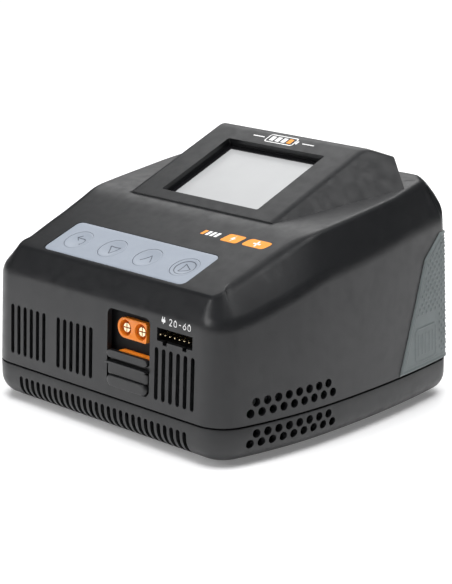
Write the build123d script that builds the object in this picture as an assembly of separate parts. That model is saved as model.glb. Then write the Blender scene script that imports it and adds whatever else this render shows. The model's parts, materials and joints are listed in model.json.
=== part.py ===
from build123d import *
import os
from math import asin, cos, degrees, radians, sin, sqrt, tan

# Balance battery charger for radio-control models, as an assembly of separate pieces.
# Millimetres. +Z is up and the front, with the keys and ports, faces -Y. The finished model's origin
# is the centre of its bounding box in plan, on the surface that the rubber feet stand on. Everything
# is drawn MID_Y further back than that, so that the front face stands on a round figure.

# ---------------------------------------------------------------- driving dimensions
SEAM_Z = 16.0  # height of the joint between the tray and the upper shell
DRAFT = 2.27  # mould draft of every upright wall, degrees
WALL = 2.2  # shell wall thickness

FRONT_Y = -65.0  # front face at the seam
REAR_Y = 67.2  # rear face at the seam
FRONT_FLAT = 54.0  # half width of the flat stretch of the front
FRONT_CORNER_R = 12.8
SIDE_TOE = 13.0  # angle by which the front of a side turns in, degrees
SIDE_FRONT_R = 195.0  # bow of the side, front part
SIDE_REAR_R = 425.0  # bow of the side, rear part
REAR_CORNER_R = 8.0
MID_Y = 1.365  # middle of the overall length, before the model is centred

RIM_Y, RIM_Z = -58.18, 62.69  # top edge of the front bevel
BEVEL_FOOT = (-63.5, 53.67)  # y, z of the lower edge of the front bevel
SLOPE_PITCH = 19.96  # keypad slope, degrees
CREASE_Y = -13.5  # where the slope meets the shoulder
SHOULDER_PITCH = 7.5
POD_Y, POD_Z = -11.4, 79.7  # lower edge of the display face
POD_HALF = 39.2  # half width of the display face
POD_PITCH = 22.0
POD_CREST = (41.35, 101.0)  # y, z of the upper edge of the display face
POD_FOOT_X = 58.0  # half width of the block that the pod is cut from

TRAY_FLOOR_Z = 1.5  # underside of the tray, held up by the feet
TRAY_ROUND = 8.0  # rounding along the bottom edge

LCD_W, LCD_H = 48.96, 36.72  # lit area of a 2.4 inch display

GAP = 0.25  # clearance round a piece that moves
SEAM_GAP = 0.7  # height of the shadow groove at the seam
LIP_INSET = 1.2  # locating lip of the tray, inside the shell wall
LIP_HEIGHT = 2.0

SLOT_W = 2.0  # width of every cooling slot
RIB_FIRST, RIB_PITCH, RIB_COUNT = -46.6, 3.4519, 28  # slots along the bottom of the front
RIB_TOP = 10.6  # height of the centre of each slot's round upper end
VENT_FIRSTS, VENT_PITCH, VENT_COUNT = (-51.67, -24.05, 31.35), 3.803, 6  # groups of upright slots
HOLE_R = 1.7  # side cooling holes
HOLE_PITCH = 4.98

KEY_XS = {"back": -31.5, "down": -11.8, "up": 8.0, "start": 28.2}
KEY_S = 12.4  # height of the keys up the slope
KEY_R = 5.9
KEY_TRAVEL = 0.8
PAD_W, PAD_H, PAD_X, PAD_S = 79.4, 21.4, -2.7, 12.8  # keypad panel and its centre on the slope
PAD_DEPTH = 1.3

WINDOW = (4.3, 27.65, 4.0, 34.2)  # port window: x from, x to, height above the seam from, to
DOOR = (4.55, 27.4, 4.2, 18.2)  # sliding door when down
DOOR_TRAVEL = 15.0
SMALL_PORT = (16.0, 27.5, 15.8, 7.85)  # x, height, width, height of the housing
LARGE_PORT = (16.0, 13.4, 20.0, 10.6)
PORT_FACE = 1.75  # how far the housings stand behind the front face
HEADER = (40.7, 29.5, 18.6, 5.0)  # balance socket: x, height, width, height
PIN_PITCH = 2.5
PIN_COUNT = 7
PIN_SIZE = 0.64  # square pins

GRIP_PROUD = 0.8  # rubber grips stand out by this and are let in by as much
FAN_X, FAN_Z, FAN_SIZE = 12.0, 51.0, 60.0
FAN_REAR, FAN_DEPTH = REAR_Y - 5.4, 15.0
FAN_BOLT = 25.0  # half the fan's 50 mm bolt spacing
GRILLE_R, GRILLE_PITCH, GRILLE_SLOT = 26.0, 5.6, 3.0
SCREW_SEAT = 0.9  # depth of the seat round each fan screw
INLET_X, INLET_Z = -36.0, 34.0
INLET_W, INLET_H = 24.0, 15.0
MAINS_PIN_X = 4.3  # half the distance between the two mains pins

BOARD_Z = 8.5  # underside of the main board
BOARD = (98.0, 90.0, 1.6)
BOARD_Y = -6.0
CASE_POSTS = [(sx * 55.5, sy * 46.0) for sx in (-1, 1) for sy in (-1, 1)]
BOARD_POSTS = [(sx * 44.0, BOARD_Y + sy * 40.0) for sx in (-1, 1) for sy in (-1, 1)]
FEET = [(sx * 41.0, sy * 48.0) for sx in (-1, 1) for sy in (-1, 1)]


BIG = 400.0  # larger than the whole object


# ---------------------------------------------------------------- helpers
STANDING = (Align.CENTER, Align.CENTER, Align.MIN)


def at(x, y, z):
    return Pos(x, y, z)


def beneath(point, normal):
    """Everything on the inner side of the plane through point with this outward normal."""
    flat = Plane(origin=point, z_dir=normal)
    return flat * Box(BIG, BIG, BIG, align=(Align.CENTER, Align.CENTER, Align.MAX))


def leaning(pitch):
    """Outward normal of a surface that rises towards the rear at this pitch."""
    return Vector(0, -sin(radians(pitch)), cos(radians(pitch)))


def outline(inset=0.0):
    """Plan of the case at the seam: flat front and rear, rounded corners, bowed sides."""
    corner = JernArc((FRONT_FLAT, FRONT_Y + inset), (1, 0), FRONT_CORNER_R - inset, 90 - SIDE_TOE)
    side_front = JernArc(corner @ 1, corner % 1, SIDE_FRONT_R - inset, SIDE_TOE)
    bow_y = (side_front @ 1).Y
    turn = degrees(asin((REAR_Y - REAR_CORNER_R - bow_y) / (SIDE_REAR_R - REAR_CORNER_R)))
    side_rear = JernArc(side_front @ 1, (0, 1), SIDE_REAR_R - inset, turn)
    rear_corner = JernArc(side_rear @ 1, side_rear % 1, REAR_CORNER_R - inset, 90 - turn)
    front = Line((0, FRONT_Y + inset), corner @ 0)
    rear = Line(rear_corner @ 1, (0, (rear_corner @ 1).Y))
    right = [front, corner, side_front, side_rear, rear_corner, rear]
    left = [mirror(edge, Plane.YZ) for edge in right]
    return make_face([e.edge() for e in right + left])


def walls(inset, height, z=SEAM_Z):
    """Drafted prism on the outline, from the seam up."""
    return extrude(at(0, 0, z) * outline(inset), amount=height, taper=DRAFT)


SHOULDER_Z = RIM_Z + (CREASE_Y - RIM_Y) * tan(radians(SLOPE_PITCH))
bevel_run, bevel_rise = RIM_Y - BEVEL_FOOT[0], RIM_Z - BEVEL_FOOT[1]
CASE_FACETS = [
    ((0, RIM_Y, RIM_Z), Vector(0, -bevel_rise, bevel_run).normalized()),
    ((0, RIM_Y, RIM_Z), leaning(SLOPE_PITCH)),
    ((0, CREASE_Y, SHOULDER_Z), leaning(SHOULDER_PITCH)),
    ((0, 62.9, 88.98), Vector(0, 9, 4.5).normalized()),
]
SIDE_FACETS = [
    ((66.0, -51.0, 54.9), Vector(0.780, -0.223, 0.585)),
    ((69.0, -0.4, 66.4), Vector(0.895, -0.011, 0.446)),
    ((58.0, 53.4, 87.6), Vector(0.557, 0.557, 0.615)),
]
POD_FACETS = [
    ((0, POD_Y, POD_Z), leaning(POD_PITCH)),
    ((0, *POD_CREST), Vector(0, 0.400, 0.917)),
    ((0, 52.0, 96.4), Vector(0, 0.985, 0.174)),
]
POD_SIDE = ((POD_HALF, POD_Y, POD_Z), Vector(0.640, -0.290, 0.710))
POD_REAR_CORNER = ((47.1, 49.6, 97.4), Vector(0.520, 0.850, 0.085))


def both_sides(facet):
    """A facet of the right side and its mirror image on the left."""
    (x, y, z), normal = facet
    return [facet, ((-x, y, z), Vector(-normal.X, normal.Y, normal.Z))]


def trimmed(solid, facets, inset):
    """The solid cut back to the inner side of each facet, moved in by inset."""
    for point, normal in facets:
        unit = normal.normalized()
        solid = solid & beneath(Vector(*point) - unit * inset, unit)
    return solid


def case_form(inset=0.0):
    """Solid form of the upper case without its display pod, moved in by inset."""
    facets = CASE_FACETS + [f for facet in SIDE_FACETS for f in both_sides(facet)]
    return trimmed(walls(inset, 90), facets, inset)


def pod_form(inset=0.0):
    """Wedge that carries the display, standing on the shoulder."""
    wedge = block(0, 20, 72, 2 * POD_FOOT_X, 90, 40)
    sides = both_sides(POD_SIDE) + both_sides(POD_REAR_CORNER) + both_sides(SIDE_FACETS[1])
    return trimmed(wedge, POD_FACETS + sides, inset)


def slab(plane, x, y, top, thick, w, h, r=0.0):
    """Rounded plate on a tilted face: centre x, y, its outer side at depth top below the face."""
    shape = RectangleRounded(w, h, r) if r else Rectangle(w, h)
    return extrude(plane * at(x, y, -top) * shape, amount=-thick)


def disc(plane, x, y, top, thick, r):
    """Round plate or hole on a tilted face, laid out like slab."""
    return extrude(plane * at(x, y, -top) * Circle(r), amount=-thick)


def slot(plane, x, y, width, height, depth):
    """Cutter for an upright slot with round ends, through the wall."""
    return extrude(plane * at(x, y, 2) * SlotOverall(height, width, 90), amount=-depth - 2)


def upright(x, y, z, r, height):
    return at(x, y, z) * Cylinder(r, height, align=STANDING)


def block(x, y, z, w, d, h):
    """Box centred on x, y and standing on z."""
    return at(x, y, z) * Box(w, d, h, align=STANDING)


def along_y(x, z, y_from, y_to, r):
    return Plane.XZ.offset(-y_from) * at(x, z, 0) * Cylinder(
        r, y_to - y_from, align=(Align.CENTER, Align.CENTER, Align.MAX)
    )


def rear_wall_y(z, inset=0.0):
    return REAR_Y - inset - (z - SEAM_Z) * tan(radians(DRAFT))


def fuse(pieces):
    """One shape from a list of pieces."""
    whole = pieces[0]
    for piece in pieces[1:]:
        whole = whole + piece
    return whole


FRONT = Plane(origin=(0, FRONT_Y, SEAM_Z), x_dir=(1, 0, 0), z_dir=leaning(90 - DRAFT))
SLOPE = Plane(origin=(0, RIM_Y, RIM_Z), x_dir=(1, 0, 0), z_dir=leaning(SLOPE_PITCH))
POD = Plane(origin=(0, POD_Y, POD_Z), x_dir=(1, 0, 0), z_dir=leaning(POD_PITCH))
SCREEN = (0.0, 26.05, 53.2, 41.1)  # opening in the display face: x, up the slope, width, height
SCREEN_POSTS = [(sx * 32.6, SCREEN[1] + sy * 20.5) for sx in (-1, 1) for sy in (-1, 1)]
PAD_POSTS = [(-39.0, 5.0), (-39.0, 20.6), (35.2, 5.0), (35.2, 20.6)]


# ---------------------------------------------------------------- casings
def grip(side):
    """Rubber patch round a rear corner of the upper shell, let into the wall."""
    ring = walls(-GRIP_PROUD, 55) - walls(GRIP_PROUD, 55)
    seen_from_side = [(29.4, 16), (47.9, 59.2), (59.5, 67.8), (85, 67.8), (85, 16)]
    seen_from_behind = [(side * x, z) for x, z in [(52, 16), (56, 59.2), (60, 67.8), (80, 67.8), (80, 16)]]
    region = extrude(Plane.YZ * make_face(Polyline(*seen_from_side, close=True)), amount=90 * side)
    region &= extrude(Plane.XZ * make_face(Polyline(*seen_from_behind, close=True)), amount=90, both=True)
    return (ring & region).solid()


def upper_shell(grips):
    outer_case = case_form()
    rims = [e for e in outer_case.edges() if min((e @ 0).Z, (e @ 1).Z) > 50.5 and e.length > 0.1]
    outer_pod = pod_form()
    ridges = [e for e in outer_pod.edges() if min((e @ 0).Z, (e @ 1).Z) > 73 and e.length > 0.1]
    shell = fillet(rims, 2.5) + fillet(ridges, 2.0)
    shell -= case_form(WALL) + pod_form(WALL)
    shell -= extrude(at(0, 0, SEAM_Z) * outline(LIP_INSET - 0.1), amount=LIP_HEIGHT + 0.2)

    solid_form = case_form(0.5) + pod_form(0.5)
    for x, y in CASE_POSTS:
        shell += (upright(x, y, SEAM_Z, 4.0, 80) & solid_form) - upright(x, y, SEAM_Z, 1.3, 14)

    x, s, w, h = SCREEN
    shell += slab(POD, x, s, 1.0, 2.3, w + 4, h + 4, 2) - slab(POD, x, s, 0, 6, w, h, 0.8)
    shell -= slab(POD, x, s, -1, 6, w, h, 0.8)
    for x, s in SCREEN_POSTS:
        shell += disc(POD, x, s, 1.5, 6.7, 2.8) - disc(POD, x, s, 3.0, 6, 0.9)

    shell -= slab(SLOPE, PAD_X, PAD_S, -1, 1 + PAD_DEPTH, PAD_W, PAD_H, 2.8)
    for x in KEY_XS.values():
        shell -= disc(SLOPE, x, KEY_S, 0, 4, KEY_R + 0.5)
    for x, s in PAD_POSTS:
        shell += disc(SLOPE, x, s, 1.8, 6.7, 2.6) - disc(SLOPE, x, s, 3.0, 6, 0.9)

    vents = [first + VENT_PITCH * i for first in VENT_FIRSTS for i in range(VENT_COUNT)]
    shell -= fuse([slot(FRONT, x, 14.3, SLOT_W, 20.2, 4) for x in vents])
    shell -= side_holes([(24.1, -48.8, 8), (20.15, -51.4, 9)])

    x0, x1, h0, h1 = WINDOW
    shell -= slab(FRONT, (x0 + x1) / 2, (h0 + h1) / 2, -2, 8, x1 - x0, h1 - h0, 2.5)
    x, h, w, tall = HEADER
    shell -= slab(FRONT, x, h, -2, 6, w, tall)
    for offset in (-5.2, 5.2):
        shell -= slab(FRONT, x + offset, h - tall / 2, -2, 3.4, 2.2, 2.6)

    shell -= fan_grille()
    for x, z in fan_bolts():
        shell += along_y(x, z, FAN_REAR, rear_wall_y(z, 1.2), 4.0)
        shell -= along_y(x, z, 50, 75, 1.7) + along_y(x, z, rear_wall_y(z) - SCREW_SEAT, 75, 3.3)
    hole_w, hole_h = INLET_W + 0.2, INLET_H + 0.2
    shell -= block(INLET_X, REAR_Y, INLET_Z - hole_h / 2, hole_w, 20, hole_h)
    return (shell - fuse(grips)).solid()


def fan_grille():
    """Cutters for the level slots in front of the fan, round a closed hub and a central bar."""
    slots = []
    for i in range(-4, 5):
        rise = GRILLE_PITCH * i
        half = sqrt(GRILLE_R**2 - rise**2)
        slots.append(block(FAN_X, REAR_Y, FAN_Z + rise - GRILLE_SLOT / 2, 2 * half, 20, GRILLE_SLOT))
    bar = block(FAN_X, REAR_Y, FAN_Z - GRILLE_R - 4, 2.4, 22, 2 * GRILLE_R + 8)
    return fuse(slots) - along_y(FAN_X, FAN_Z, 50, 80, 8.0) - bar


def side_holes(rows):
    """Cutters for staggered rows of round cooling holes through both sides."""
    drills = []
    for z, first_y, count in rows:
        for i in range(count):
            drills.append(at(0, first_y + HOLE_PITCH * i, z) * Rot(0, 90, 0) * Cylinder(HOLE_R, 160))
    core = Box(118, 140, 200)
    return fuse(drills) - core


def base_tray():
    height = SEAM_Z - SEAM_GAP - TRAY_FLOOR_Z
    outer = extrude(at(0, 0, TRAY_FLOOR_Z) * outline(), amount=height)
    outer = fillet(outer.faces().sort_by(Axis.Z)[0].edges(), TRAY_ROUND)
    inner = extrude(at(0, 0, TRAY_FLOOR_Z + WALL) * outline(WALL), amount=height)
    inner = fillet(inner.faces().sort_by(Axis.Z)[0].edges(), TRAY_ROUND - WALL)
    tray = outer - inner
    lip_foot = SEAM_Z - SEAM_GAP - 2
    lip = extrude(at(0, 0, lip_foot) * outline(LIP_INSET + 0.05), amount=SEAM_Z + LIP_HEIGHT - lip_foot)
    tray += lip - extrude(at(0, 0, 5) * outline(WALL), amount=20)

    ribs = [RIB_FIRST + RIB_PITCH * i for i in range(RIB_COUNT)]
    for x in ribs:
        tray -= block(x, FRONT_Y + 3, -1, SLOT_W, 11.5, RIB_TOP + 1)
        tray -= along_y(x, RIB_TOP, FRONT_Y - 3, FRONT_Y + 8, SLOT_W / 2)
    tray -= side_holes([(12.3, -48.9, 8), (8.65, -51.7, 9)])

    for x, y in CASE_POSTS:
        tray += upright(x, y, TRAY_FLOOR_Z + 1, 4.6, SEAM_Z - TRAY_FLOOR_Z - 1.1)
        tray -= upright(x, y, 0, 1.75, 30) + upright(x, y, 0, 3.2, TRAY_FLOOR_Z + 3.5)
    for x, y in BOARD_POSTS:
        tray += upright(x, y, 3, 3.2, BOARD_Z - 3) - upright(x, y, 4, 1.1, 10)
    for x, y in FEET:
        tray -= upright(x, y, 0, 6.1, TRAY_FLOOR_Z + 0.6)
    return tray.solid()


# ---------------------------------------------------------------- display
def lcd_mask():
    x, s, w, h = SCREEN
    return slab(POD, x, s, 3.3, 0.4, w + 3.6, h + 3.6, 1.5) - slab(POD, x, s, 3, 1, LCD_W, LCD_H)


def lcd_panel():
    x, s, w, h = SCREEN
    return slab(POD, x, s, 3.7, 2.2, w + 2.6, h + 2.6, 0.6)


def lcd_frame():
    x, s, w, h = SCREEN
    frame = slab(POD, x, s, 3.7, 4.0, w + 5.4, h + 5.4, 1.5)
    return frame - slab(POD, x, s, 3.7, 2.2, w + 2.6, h + 2.6, 0.6)


def display_board():
    board = slab(POD, 0, SCREEN[1], 8.2, 1.6, 71.5, 48.0, 2)
    return board - fuse([disc(POD, x, s, 8, 3, 1.3) for x, s in SCREEN_POSTS])


def face_screws(plane, places, top, length, head_r=2.3):
    """Small pan-head screws driven up into posts on the inside of a face."""
    screws = []
    for x, s in places:
        head = disc(plane, x, s, top, 1.4, head_r) - slab(plane, x, s, top + 0.8, 1, 2.4, 0.5)
        head -= slab(plane, x, s, top + 0.8, 1, 0.5, 2.4)
        screws.append(head + disc(plane, x, s, top - length, length, 0.85))
    return Compound(children=[screw.solid() for screw in screws])


# ---------------------------------------------------------------- keypad
def keypad_sheet():
    sheet = slab(SLOPE, PAD_X, PAD_S, 0.1, PAD_DEPTH - 0.1, PAD_W - 0.3, PAD_H - 0.3, 2.7)
    return sheet - fuse([disc(SLOPE, x, KEY_S, 0, 3, KEY_R + GAP) for x in KEY_XS.values()])


def key(x):
    """Round key with a shallow dish and the post that presses the switch."""
    cap = disc(SLOPE, x, KEY_S, 0.15, 1.7, KEY_R)
    cap = fillet(cap.edges().sort_by(Axis.Z)[-1:], 0.2)
    dish = SLOPE * at(x, KEY_S, 24.35) * Sphere(25)
    return (cap - dish + disc(SLOPE, x, KEY_S, 1.8, 2.4, 1.9)).solid()


def plunger(x):
    return disc(SLOPE, x, KEY_S, 4.2, 1.9, 1.7)


def tact_switches():
    switches = []
    for x in KEY_XS.values():
        can = slab(SLOPE, x, KEY_S, 5.0, 3.5, 6.2, 6.2, 0.5) - disc(SLOPE, x, KEY_S, 5.0, 2.2, 1.95)
        switches.append(can)
    return Compound(children=[switch.solid() for switch in switches])


def key_board():
    board = slab(SLOPE, -1.9, PAD_S, 8.5, 1.6, 82.0, 22.0, 1.5)
    return board - fuse([disc(SLOPE, x, s, 8, 3, 1.2) for x, s in PAD_POSTS])


# ---------------------------------------------------------------- ports
def port_door():
    """Shutter that slides up the port window: finger ridge, scoop and two runners behind the wall."""
    x0, x1, h0, h1 = DOOR
    x, w = (x0 + x1) / 2, x1 - x0
    door = slab(FRONT, x, (h0 + h1) / 2, 0.5, 0.9, w, h1 - h0, 2.4)
    door += slab(FRONT, x, 14.15, -0.8, 1.6, w, 1.5, 0.5)
    door += slab(FRONT, x, 6.0, 0.05, 1.0, w - 1.6, 3.0, 1.0)
    for side in (-1, 1):
        web_x = x + side * (w / 2 - 0.45)
        door += slab(FRONT, web_x, 11.2, 1.0, 2.4, 0.9, 9.0)
        door += slab(FRONT, x + side * (w / 2 + 0.05), 11.2, 2.5, 0.9, 1.9, 9.0)
    return door.solid()


def port_bracket():
    """Carrier behind the port window that holds both housings and guides the door's runners."""
    x0, x1, h0, h1 = WINDOW
    x, h = (x0 + x1) / 2, (h0 + h1) / 2
    tall = h1 - h0 + 2.6
    bracket = slab(FRONT, x, h + 0.4, 3.75, 2.2, 28.4, tall, 1)
    for side in (-1, 1):
        bracket += slab(FRONT, x + side * 13.6, h + 0.4, WALL, 3.0, 1.2, tall)
    bracket -= port_outline(SMALL_PORT, 3, 4) + port_outline(LARGE_PORT, 3, 4)
    return bracket.solid()


def port_outline(port, top, thick, grow=0.0):
    """D-shaped prism of a battery connector: one rounded end, which keys the plug, and one flat end."""
    x, h, w, tall = port
    left = disc(FRONT, x - (w - tall) / 2, h, top, thick, tall / 2 + grow)
    right = slab(FRONT, x + tall / 4, h, top, thick, w - tall / 2 + 2 * grow, tall + 2 * grow, 0.8)
    return left + right


def port_housing(port, wells, well_r, length):
    body = port_outline(port, PORT_FACE, length)
    for x in wells:
        body -= disc(FRONT, x, port[1], 0, PORT_FACE + length - 3, well_r)
    return body


def port_contacts(port, wells, r, length):
    """Split bullet contacts standing in the wells, with solder tails behind the housing."""
    pins = []
    for x in wells:
        pin = disc(FRONT, x, port[1], PORT_FACE + 0.8, length - 0.8, r)
        pin -= slab(FRONT, x, port[1], PORT_FACE, 6, 0.45, 3 * r)
        pin -= slab(FRONT, x, port[1], PORT_FACE, 6, 3 * r, 0.45)
        tail = PORT_FACE + length - 0.2
        pins.append(pin + disc(FRONT, x, port[1], tail, PORT_BOARD_TOP - tail, r * 0.6))
    return pins


SMALL_WELLS, LARGE_WELLS = (12.35, 20.75), (11.1, 20.9)
PORT_BOARD_TOP = 18.0


def balance_header():
    x, h, w, tall = HEADER
    body = slab(FRONT, x, h, WALL, 8.0, w + 2, tall + 2, 0.3)
    return body - slab(FRONT, x, h, WALL - 1, 7.3, w, tall)


def balance_pins():
    first = HEADER[0] + 0.1 - PIN_PITCH * (PIN_COUNT - 1) / 2
    places = [first + PIN_PITCH * i for i in range(PIN_COUNT)]
    return [slab(FRONT, x, HEADER[1], 1.0, PORT_BOARD_TOP - 1.0, PIN_SIZE, PIN_SIZE) for x in places]


def port_board():
    return slab(FRONT, 25.5, 20.5, PORT_BOARD_TOP, 1.6, 50, 30, 1)


# ---------------------------------------------------------------- fan and mains inlet
def fan_bolts():
    return [(FAN_X + sx * FAN_BOLT, FAN_Z + sz * FAN_BOLT) for sx in (-1, 1) for sz in (-1, 1)]


def fan_frame():
    front = FAN_REAR - FAN_DEPTH
    side = FAN_SIZE
    frame = at(FAN_X, (front + FAN_REAR) / 2, FAN_Z) * Box(side, FAN_DEPTH, side)
    frame = fillet(frame.edges().filter_by(Axis.Y), 3.0)
    frame -= along_y(FAN_X, FAN_Z, front - 1, FAN_REAR + 1, 28.4)
    hub = along_y(FAN_X, FAN_Z, FAN_REAR - 2.4, FAN_REAR, 15.0)
    arm = at(FAN_X, FAN_REAR - 1.2, FAN_Z) * Box(57.6, 2.4, 2.2)
    arms = fuse([turned_about_fan(arm, angle) for angle in (45, 135)])
    frame += hub + arms
    frame -= along_y(FAN_X, FAN_Z, 40, 75, 1.55)
    return (frame - fuse([along_y(x, z, 40, 75, 1.7) for x, z in fan_bolts()])).solid()


def turned_about_fan(shape, angle):
    return at(FAN_X, 0, FAN_Z) * Rot(0, angle, 0) * at(-FAN_X, 0, -FAN_Z) * shape


def fan_rotor():
    """Hub with seven pitched blades and the axle that runs in the frame's bush."""
    front = FAN_REAR - FAN_DEPTH
    hub = along_y(FAN_X, FAN_Z, front + 1.0, FAN_REAR - 2.9, 15.0)
    hub = fillet(hub.edges().sort_by(Axis.Y)[:1], 1.5)
    ring = along_y(FAN_X, FAN_Z, front + 1.6, FAN_REAR - 3.4, 27.4)
    ring -= along_y(FAN_X, FAN_Z, front, FAN_REAR, 14.6)
    plate = at(FAN_X, FAN_REAR - 8.6, FAN_Z + 21) * Rot(0, 0, 38) * Box(17, 1.4, 16)
    blades = [turned_about_fan(plate, 360 / 7 * i) & ring for i in range(7)]
    axle = along_y(FAN_X, FAN_Z, FAN_REAR - 4, FAN_REAR - 0.4, 1.5)
    return (hub + fuse(blades) + axle).solid()


def fan_screws():
    screws = []
    for x, z in fan_bolts():
        seat = rear_wall_y(z) - SCREW_SEAT
        head = fillet(along_y(x, z, seat, seat + 1.8, 2.9).edges().sort_by(Axis.Y)[-1:], 0.8)
        for w, h in ((3.0, 0.7), (0.7, 3.0)):
            head -= at(x, seat + 1.8, z) * Box(w, 2.0, h)
        screws.append((head + along_y(x, z, FAN_REAR - 14, seat, 1.45)).solid())
    return Compound(children=screws)


INLET_FACE = rear_wall_y(INLET_Z) - 0.1


def ac_inlet():
    """Two-pole mains inlet with the usual figure-of-eight cavity."""
    face = INLET_FACE
    body = block(INLET_X, face - 8.5, INLET_Z - INLET_H / 2, INLET_W, 17, INLET_H)
    body += block(INLET_X, face - 6.2, INLET_Z - 9.5, 29, 2.0, 19)
    cavity = [along_y(INLET_X + sx * MAINS_PIN_X, INLET_Z, face - 13, face + 1, 4.5) for sx in (-1, 1)]
    return (body - fuse(cavity)).solid()


def ac_pins():
    places = [INLET_X + sx * MAINS_PIN_X for sx in (-1, 1)]
    return [along_y(x, INLET_Z, INLET_FACE - 21.8, INLET_FACE - 2.6, 1.18) for x in places]


# ---------------------------------------------------------------- power electronics on the main board
BOARD_TOP = BOARD_Z + BOARD[2]
TRAFO_X = 17.0
FUSE = (-26.0, 36.0)


def main_board():
    board = block(0, BOARD_Y, BOARD_Z, *BOARD)
    return board - fuse([upright(x, y, BOARD_Z - 1, 1.5, 4) for x, y in BOARD_POSTS])


def cross_recess(x, y, z, span, width, depth):
    return block(x, y, z, span, width, depth) + block(x, y, z, width, span, depth)


def board_screws():
    screws = []
    for x, y in BOARD_POSTS:
        head = upright(x, y, BOARD_TOP, 2.7, 1.7) - cross_recess(x, y, BOARD_TOP + 0.9, 3, 0.6, 1)
        screws.append((head + upright(x, y, BOARD_TOP - 5.4, 1.05, 5.5)).solid())
    return Compound(children=screws)


def transformer_core():
    core = block(TRAFO_X, 8, BOARD_TOP + 2, 32, 14, 28)
    for side in (-1, 1):
        core -= block(TRAFO_X + side * 9.5, 8, BOARD_TOP + 7, 8, 20, 18)
    return core


def transformer_winding():
    """Taped winding on its bobbin, with two flanges and four feet."""
    bobbin = block(TRAFO_X, 8, BOARD_TOP + 8, 25, 25, 16)
    for z in (7, 24):
        bobbin += block(TRAFO_X, 8, BOARD_TOP + z, 26, 27, 1)
    bobbin -= transformer_core()
    corners = [(sx * 9, sy * 12) for sx in (-1, 1) for sy in (-1, 1)]
    return (bobbin + fuse([block(TRAFO_X + x, 8 + y, BOARD_TOP, 3, 2, 7.5) for x, y in corners])).solid()


def capacitor(x, y, r, height):
    can = upright(x, y, BOARD_TOP, r, height)
    can = fillet(can.edges().sort_by(Axis.Z)[-1:], 0.8)
    groove = upright(x, y, BOARD_TOP + 3, r + 1, 1.0) - upright(x, y, BOARD_TOP + 3, r - 0.5, 1.0)
    vent = cross_recess(x, y, BOARD_TOP + height - 0.3, r, 0.5, 1)
    return (can - groove - vent).solid()


def toroid(x, y, z, ring_r, wire_r, tilt=0):
    return at(x, y, z) * Rot(tilt, 0, 0) * Torus(ring_r, wire_r)


def heat_sink(x, y, length):
    """Extruded sink: a back plate with fins across its top half."""
    sink = block(x, y, BOARD_TOP, 3.0, length, 30)
    for i in range(6):
        sink += block(x + 4.5, y, BOARD_TOP + 3 + 4.8 * i, 8.0, length, 1.3)
    return sink.solid()


def power_transistors():
    """Flat-tab transistors standing against the inner faces of both heat sinks."""
    cases = []
    for side, y in ((1, -22), (1, -8), (1, 6), (-1, -30), (-1, -16)):
        x = side * 38.4 if side > 0 else -39.7
        tab = block(x, y, BOARD_TOP + 4, 1.3, 10, 15.5) - along_x(x, y, BOARD_TOP + 17, 1.8)
        legs = fuse([block(x - side * 1.6, y + 2.54 * i, BOARD_TOP, 0.6, 0.9, 5) for i in (-1, 0, 1)])
        cases.append((tab + block(x - side * 1.8, y, BOARD_TOP + 4, 3.2, 10, 9) + legs).solid())
    return Compound(children=cases)


def along_x(x, y, z, r):
    return at(x, y, z) * Rot(0, 90, 0) * Cylinder(r, 12)


def film_capacitors():
    boxes = []
    for x, y, w, d, h in [(-42, 2.5, 6, 13, 12), (-12, -26, 13, 6, 11), (9, 35, 18, 7, 12)]:
        box = block(x, y, BOARD_TOP, w, d, h)
        boxes.append(fillet(box.edges().filter_by(Axis.Z), 1.0).solid())
    return Compound(children=boxes)


def fuse_holder():
    holder = block(FUSE[0], FUSE[1], BOARD_TOP, 24, 6, 2)
    for side in (-1, 1):
        holder += block(FUSE[0] + side * 9.5, FUSE[1], BOARD_TOP, 3, 6, 7)
    return (holder - fuse_rod(2.6, 30)).solid()


def fuse_rod(r, length):
    return at(FUSE[0], FUSE[1], BOARD_TOP + 5) * Rot(0, 90, 0) * Cylinder(r, length)


def control_chips():
    chips = [(-4, -38, 12, 12), (14, -40, 7, 7), (-24, -38, 8, 6)]
    return Compound(children=[block(x, y, BOARD_TOP, w, d, 1.4).solid() for x, y, w, d in chips])


# ---------------------------------------------------------------- fasteners and feet
def case_screws():
    """Self-tapping screws from under the tray into the shell's posts."""
    screws = []
    for x, y in CASE_POSTS:
        head_z = TRAY_FLOOR_Z + 3.5
        head = upright(x, y, head_z - 2.2, 2.9, 2.2) - cross_recess(x, y, head_z - 3, 3.4, 0.8, 2)
        screws.append((head + upright(x, y, head_z - 0.1, 1.25, 22)).solid())
    return Compound(children=screws)


def rubber_feet():
    feet = []
    for x, y in FEET:
        foot = upright(x, y, 0, 6.0, TRAY_FLOOR_Z + 0.6)
        feet.append(fillet(foot.edges().sort_by(Axis.Z)[:1], 0.5).solid())
    return Compound(children=feet)


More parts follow.
